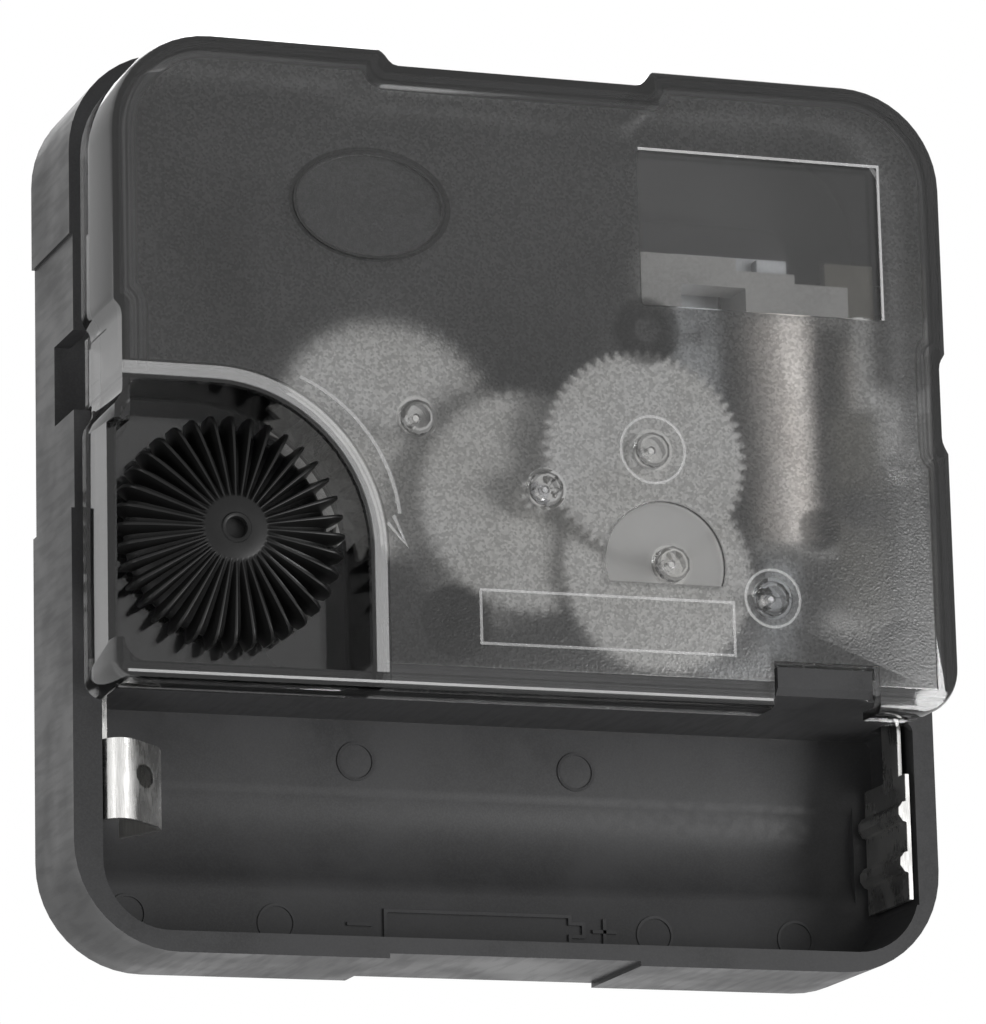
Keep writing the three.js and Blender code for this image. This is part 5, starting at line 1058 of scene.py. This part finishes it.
# Coil winding, in bench millimetres.
WINDING_BORE = 1.56
WINDING_EDGE = 0.3
WIRE_INSET = 0.12
WIRE_CROWN = 0.1
WINDING_STEPS = 40
WIRE_ROWS = 4
LAYER_HEIGHT = 0.048
LAYER_WAVES = (2.1, 0.9, 1)


class MOVEMENT_OT_winding(bpy.types.Operator):
    """Copper winding, laid turn by turn on the bobbin"""
    bl_idname = "movement.winding"
    bl_label = "Coil winding"

    def execute(self, context):
        pitch = context.scene.movement_sizes.wire_pitch / MM
        centre_x = (WINDING_LOW.x + WINDING_HIGH.x) / 2
        centre_z = (WINDING_LOW.z + WINDING_HIGH.z) / 2
        radius = (WINDING_HIGH.x - WINDING_LOW.x) / 2
        near, far = WINDING_LOW.y, WINDING_HIGH.y
        rows = [(WINDING_BORE, near, False), (radius - WINDING_EDGE, near, False)]
        count = int((far - near) / pitch * WIRE_ROWS)
        rows += [(radius, near + (far - near) * (i + 0.5) / count, True) for i in range(count)]
        rows += [(radius - WINDING_EDGE, far, False), (WINDING_BORE, far, False)]
        fast, slow, shift = LAYER_WAVES
        rings = []
        for r, y, wound in rows:
            ring = []
            for step in range(WINDING_STEPS):
                turn = 2 * math.pi * step / WINDING_STEPS
                here = r
                if wound:
                    phase = ((y - near) / pitch - step / WINDING_STEPS) % 1.0
                    crown = math.sin(math.pi * phase)
                    layer = LAYER_HEIGHT * math.sin(fast * y) * math.sin(slow * y + shift)
                    here = r - WIRE_INSET - WIRE_CROWN * (1 - crown) + layer
                ring.append((centre_x + here * math.cos(turn), y, centre_z + here * math.sin(turn)))
            rings.append(ring)
        bm = bmesh.new()
        skin_rows(bm, rings, closed=True)
        copper = finish_for("copper")
        piece_from(bm, "winding_turns", copper, "housing", ("coil_winding",), 80)
        return {"FINISHED"}


# Camera of the photograph: its turn and tilt round the movement, and its lens in pixels.
PHOTO_WIDTH = 986
PHOTO_HEIGHT = 1024
CAMERA_AIM = (0.0, 0.0, 8.0)
CAMERA_DISTANCE = 370.33
CAMERA_YAW_DEG = 19.644
CAMERA_PITCH_DEG = 13.151
CAMERA_ROLL_DEG = -1.408
FOCAL_PIXELS = 5969.3
AXIS_PIXEL = (503.9, 517.5)
SENSOR = 36.0


def place_camera(scene):
    """Sets the camera where the photograph was taken from."""
    yaw, pitch, roll = (math.radians(a) for a in (CAMERA_YAW_DEG, CAMERA_PITCH_DEG, CAMERA_ROLL_DEG))
    forward = Vector((math.sin(yaw) * math.cos(pitch), math.cos(yaw) * math.cos(pitch), math.sin(pitch)))
    level = Vector((math.cos(yaw), -math.sin(yaw), 0))
    upward = level.cross(forward)
    right = math.cos(roll) * level + math.sin(roll) * upward
    up = math.cos(roll) * upward - math.sin(roll) * level
    camera = bpy.data.objects.new("Photo camera", bpy.data.cameras.new("Photo camera"))
    scene.collection.objects.link(camera)
    longest = max(PHOTO_WIDTH, PHOTO_HEIGHT)
    camera.data.sensor_width = SENSOR
    camera.data.lens = FOCAL_PIXELS * SENSOR / longest
    camera.data.shift_x = (PHOTO_WIDTH / 2 - AXIS_PIXEL[0]) / longest
    camera.data.shift_y = (AXIS_PIXEL[1] - PHOTO_HEIGHT / 2) / longest
    camera.data.clip_start = 0.01
    camera.data.clip_end = 20
    place = BENCH_TO_WORLD @ Vector(CAMERA_AIM) - forward * CAMERA_DISTANCE * MM
    turned = Matrix((right, up, -forward)).transposed().to_4x4()
    camera.matrix_world = Matrix.Translation(place) @ turned
    scene.camera = camera


# Lamps, in world metres: name, place and size.
KEY_LAMP = ("Key lamp", (0.29, -0.36, -0.12), 0.22)
SOFT_LAMPS = (
    ("Fill lamp", (-0.34, -0.26, -0.1), 0.3),
    ("Low lamp", (-0.05, -0.2, -0.4), 0.25),
    ("Back lamp", (0.05, 0.4, 0.3), 0.3),
)
FLOOR_HALF = 0.6
FLOOR_GAP = 0.02 * MM


def area_lamp(scene, name, place, size, power):
    """A round soft lamp that points at the dial face's centre."""
    lamp = bpy.data.objects.new(name, bpy.data.lights.new(name, "AREA"))
    scene.collection.objects.link(lamp)
    lamp.data.shape = "DISK"
    lamp.data.size = size
    lamp.data.energy = power
    lamp.location = place
    lamp.rotation_euler = (-Vector(place)).to_track_quat("-Z", "Y").to_euler()


class MOVEMENT_OT_stage(bpy.types.Operator):
    """Pale floor, soft lamps, white surroundings and the photograph's camera"""
    bl_idname = "movement.stage"
    bl_label = "Stage"

    def execute(self, context):
        scene = context.scene
        stage = scene.movement_stage
        bm = bmesh.new()
        bmesh.ops.create_grid(bm, x_segments=8, y_segments=8, size=FLOOR_HALF)
        mesh = bpy.data.meshes.new("floor")
        bm.to_mesh(mesh)
        bm.free()
        floor = bpy.data.objects.new("floor", mesh)
        scene.collection.objects.link(floor)
        floor.location.z = CAD_BOX[0][2] - FLOOR_GAP
        material, tree, shader, output = new_material("Floor")
        mesh.materials.append(material)
        shader.inputs["Base Color"].default_value = opaque(stage.floor_colour)
        shader.inputs["Roughness"].default_value = 0.9
        behind = add_node(tree, "ShaderNodeNewGeometry").outputs["Backfacing"]
        path = add_node(tree, "ShaderNodeLightPath").outputs
        clear = add_node(tree, "ShaderNodeBsdfTransparent")
        passing = strongest(tree, path["Is Shadow Ray"], path["Is Diffuse Ray"], path["Is Glossy Ray"])
        mixed = add_node(tree, "ShaderNodeMixShader", {0: larger(tree, behind, passing)})
        tree.links.new(shader.outputs[0], mixed.inputs[1])
        tree.links.new(clear.outputs[0], mixed.inputs[2])
        tree.links.new(mixed.outputs[0], output.inputs["Surface"])
        area_lamp(scene, *KEY_LAMP, stage.key_power)
        for lamp in SOFT_LAMPS:
            area_lamp(scene, *lamp, stage.fill_power)
        place_camera(scene)
        world = bpy.data.worlds.new("Surroundings")
        scene.world = world
        world.use_nodes = True
        tree = world.node_tree
        background = tree.nodes["Background"]
        background.inputs["Color"].default_value = (1, 1, 1, 1)
        path = add_node(tree, "ShaderNodeLightPath").outputs
        seen = strongest(tree, path["Is Camera Ray"], path["Is Glossy Ray"], path["Is Transmission Ray"])
        strength = ramp(tree, seen, 0.0, 1.0, stage.world_strength, 1.0)
        tree.links.new(strength, background.inputs["Strength"])
        scene.view_settings.view_transform = "Standard"
        return {"FINISHED"}


OPERATORS = (
    MOVEMENT_OT_stage,
    MOVEMENT_OT_case,
    MOVEMENT_OT_cover,
    MOVEMENT_OT_knob,
    MOVEMENT_OT_contacts,
    MOVEMENT_OT_train,
    MOVEMENT_OT_bush,
    MOVEMENT_OT_winding,
)


class MOVEMENT_PT_panel(bpy.types.Panel):
    """Lists the steps that dress the movement, with their sizes and colours"""
    bl_idname = "MOVEMENT_PT_panel"
    bl_label = "Clock movement"
    bl_space_type = "VIEW_3D"
    bl_region_type = "UI"
    bl_category = "Movement"

    def draw(self, context):
        layout = self.layout
        for operator in OPERATORS:
            layout.operator(operator.bl_idname)
        for group, attribute in GROUPS:
            values = getattr(context.scene, attribute)
            for key in group.__annotations__:
                layout.prop(values, key)


# Groups of settings, each with the name that it has in the scene.
GROUPS = (
    (MovementFinishes, "movement_finishes"),
    (MovementSizes, "movement_sizes"),
    (MovementStage, "movement_stage"),
)


def register():
    for group, attribute in GROUPS:
        bpy.utils.register_class(group)
        setattr(bpy.types.Scene, attribute, bpy.props.PointerProperty(type=group))
    for item in OPERATORS + (MOVEMENT_PT_panel,):
        bpy.utils.register_class(item)


def unregister():
    for item in (MOVEMENT_PT_panel,) + OPERATORS[::-1]:
        bpy.utils.unregister_class(item)
    for group, attribute in GROUPS:
        delattr(bpy.types.Scene, attribute)
        bpy.utils.unregister_class(group)


def main():
    register()
    bpy.ops.movement.stage()
    bpy.ops.movement.case()
    bpy.ops.movement.cover()
    bpy.ops.movement.knob()
    bpy.ops.movement.contacts()
    bpy.ops.movement.train()
    bpy.ops.movement.bush()
    bpy.ops.movement.winding()


if __name__ == "__main__":
    main()
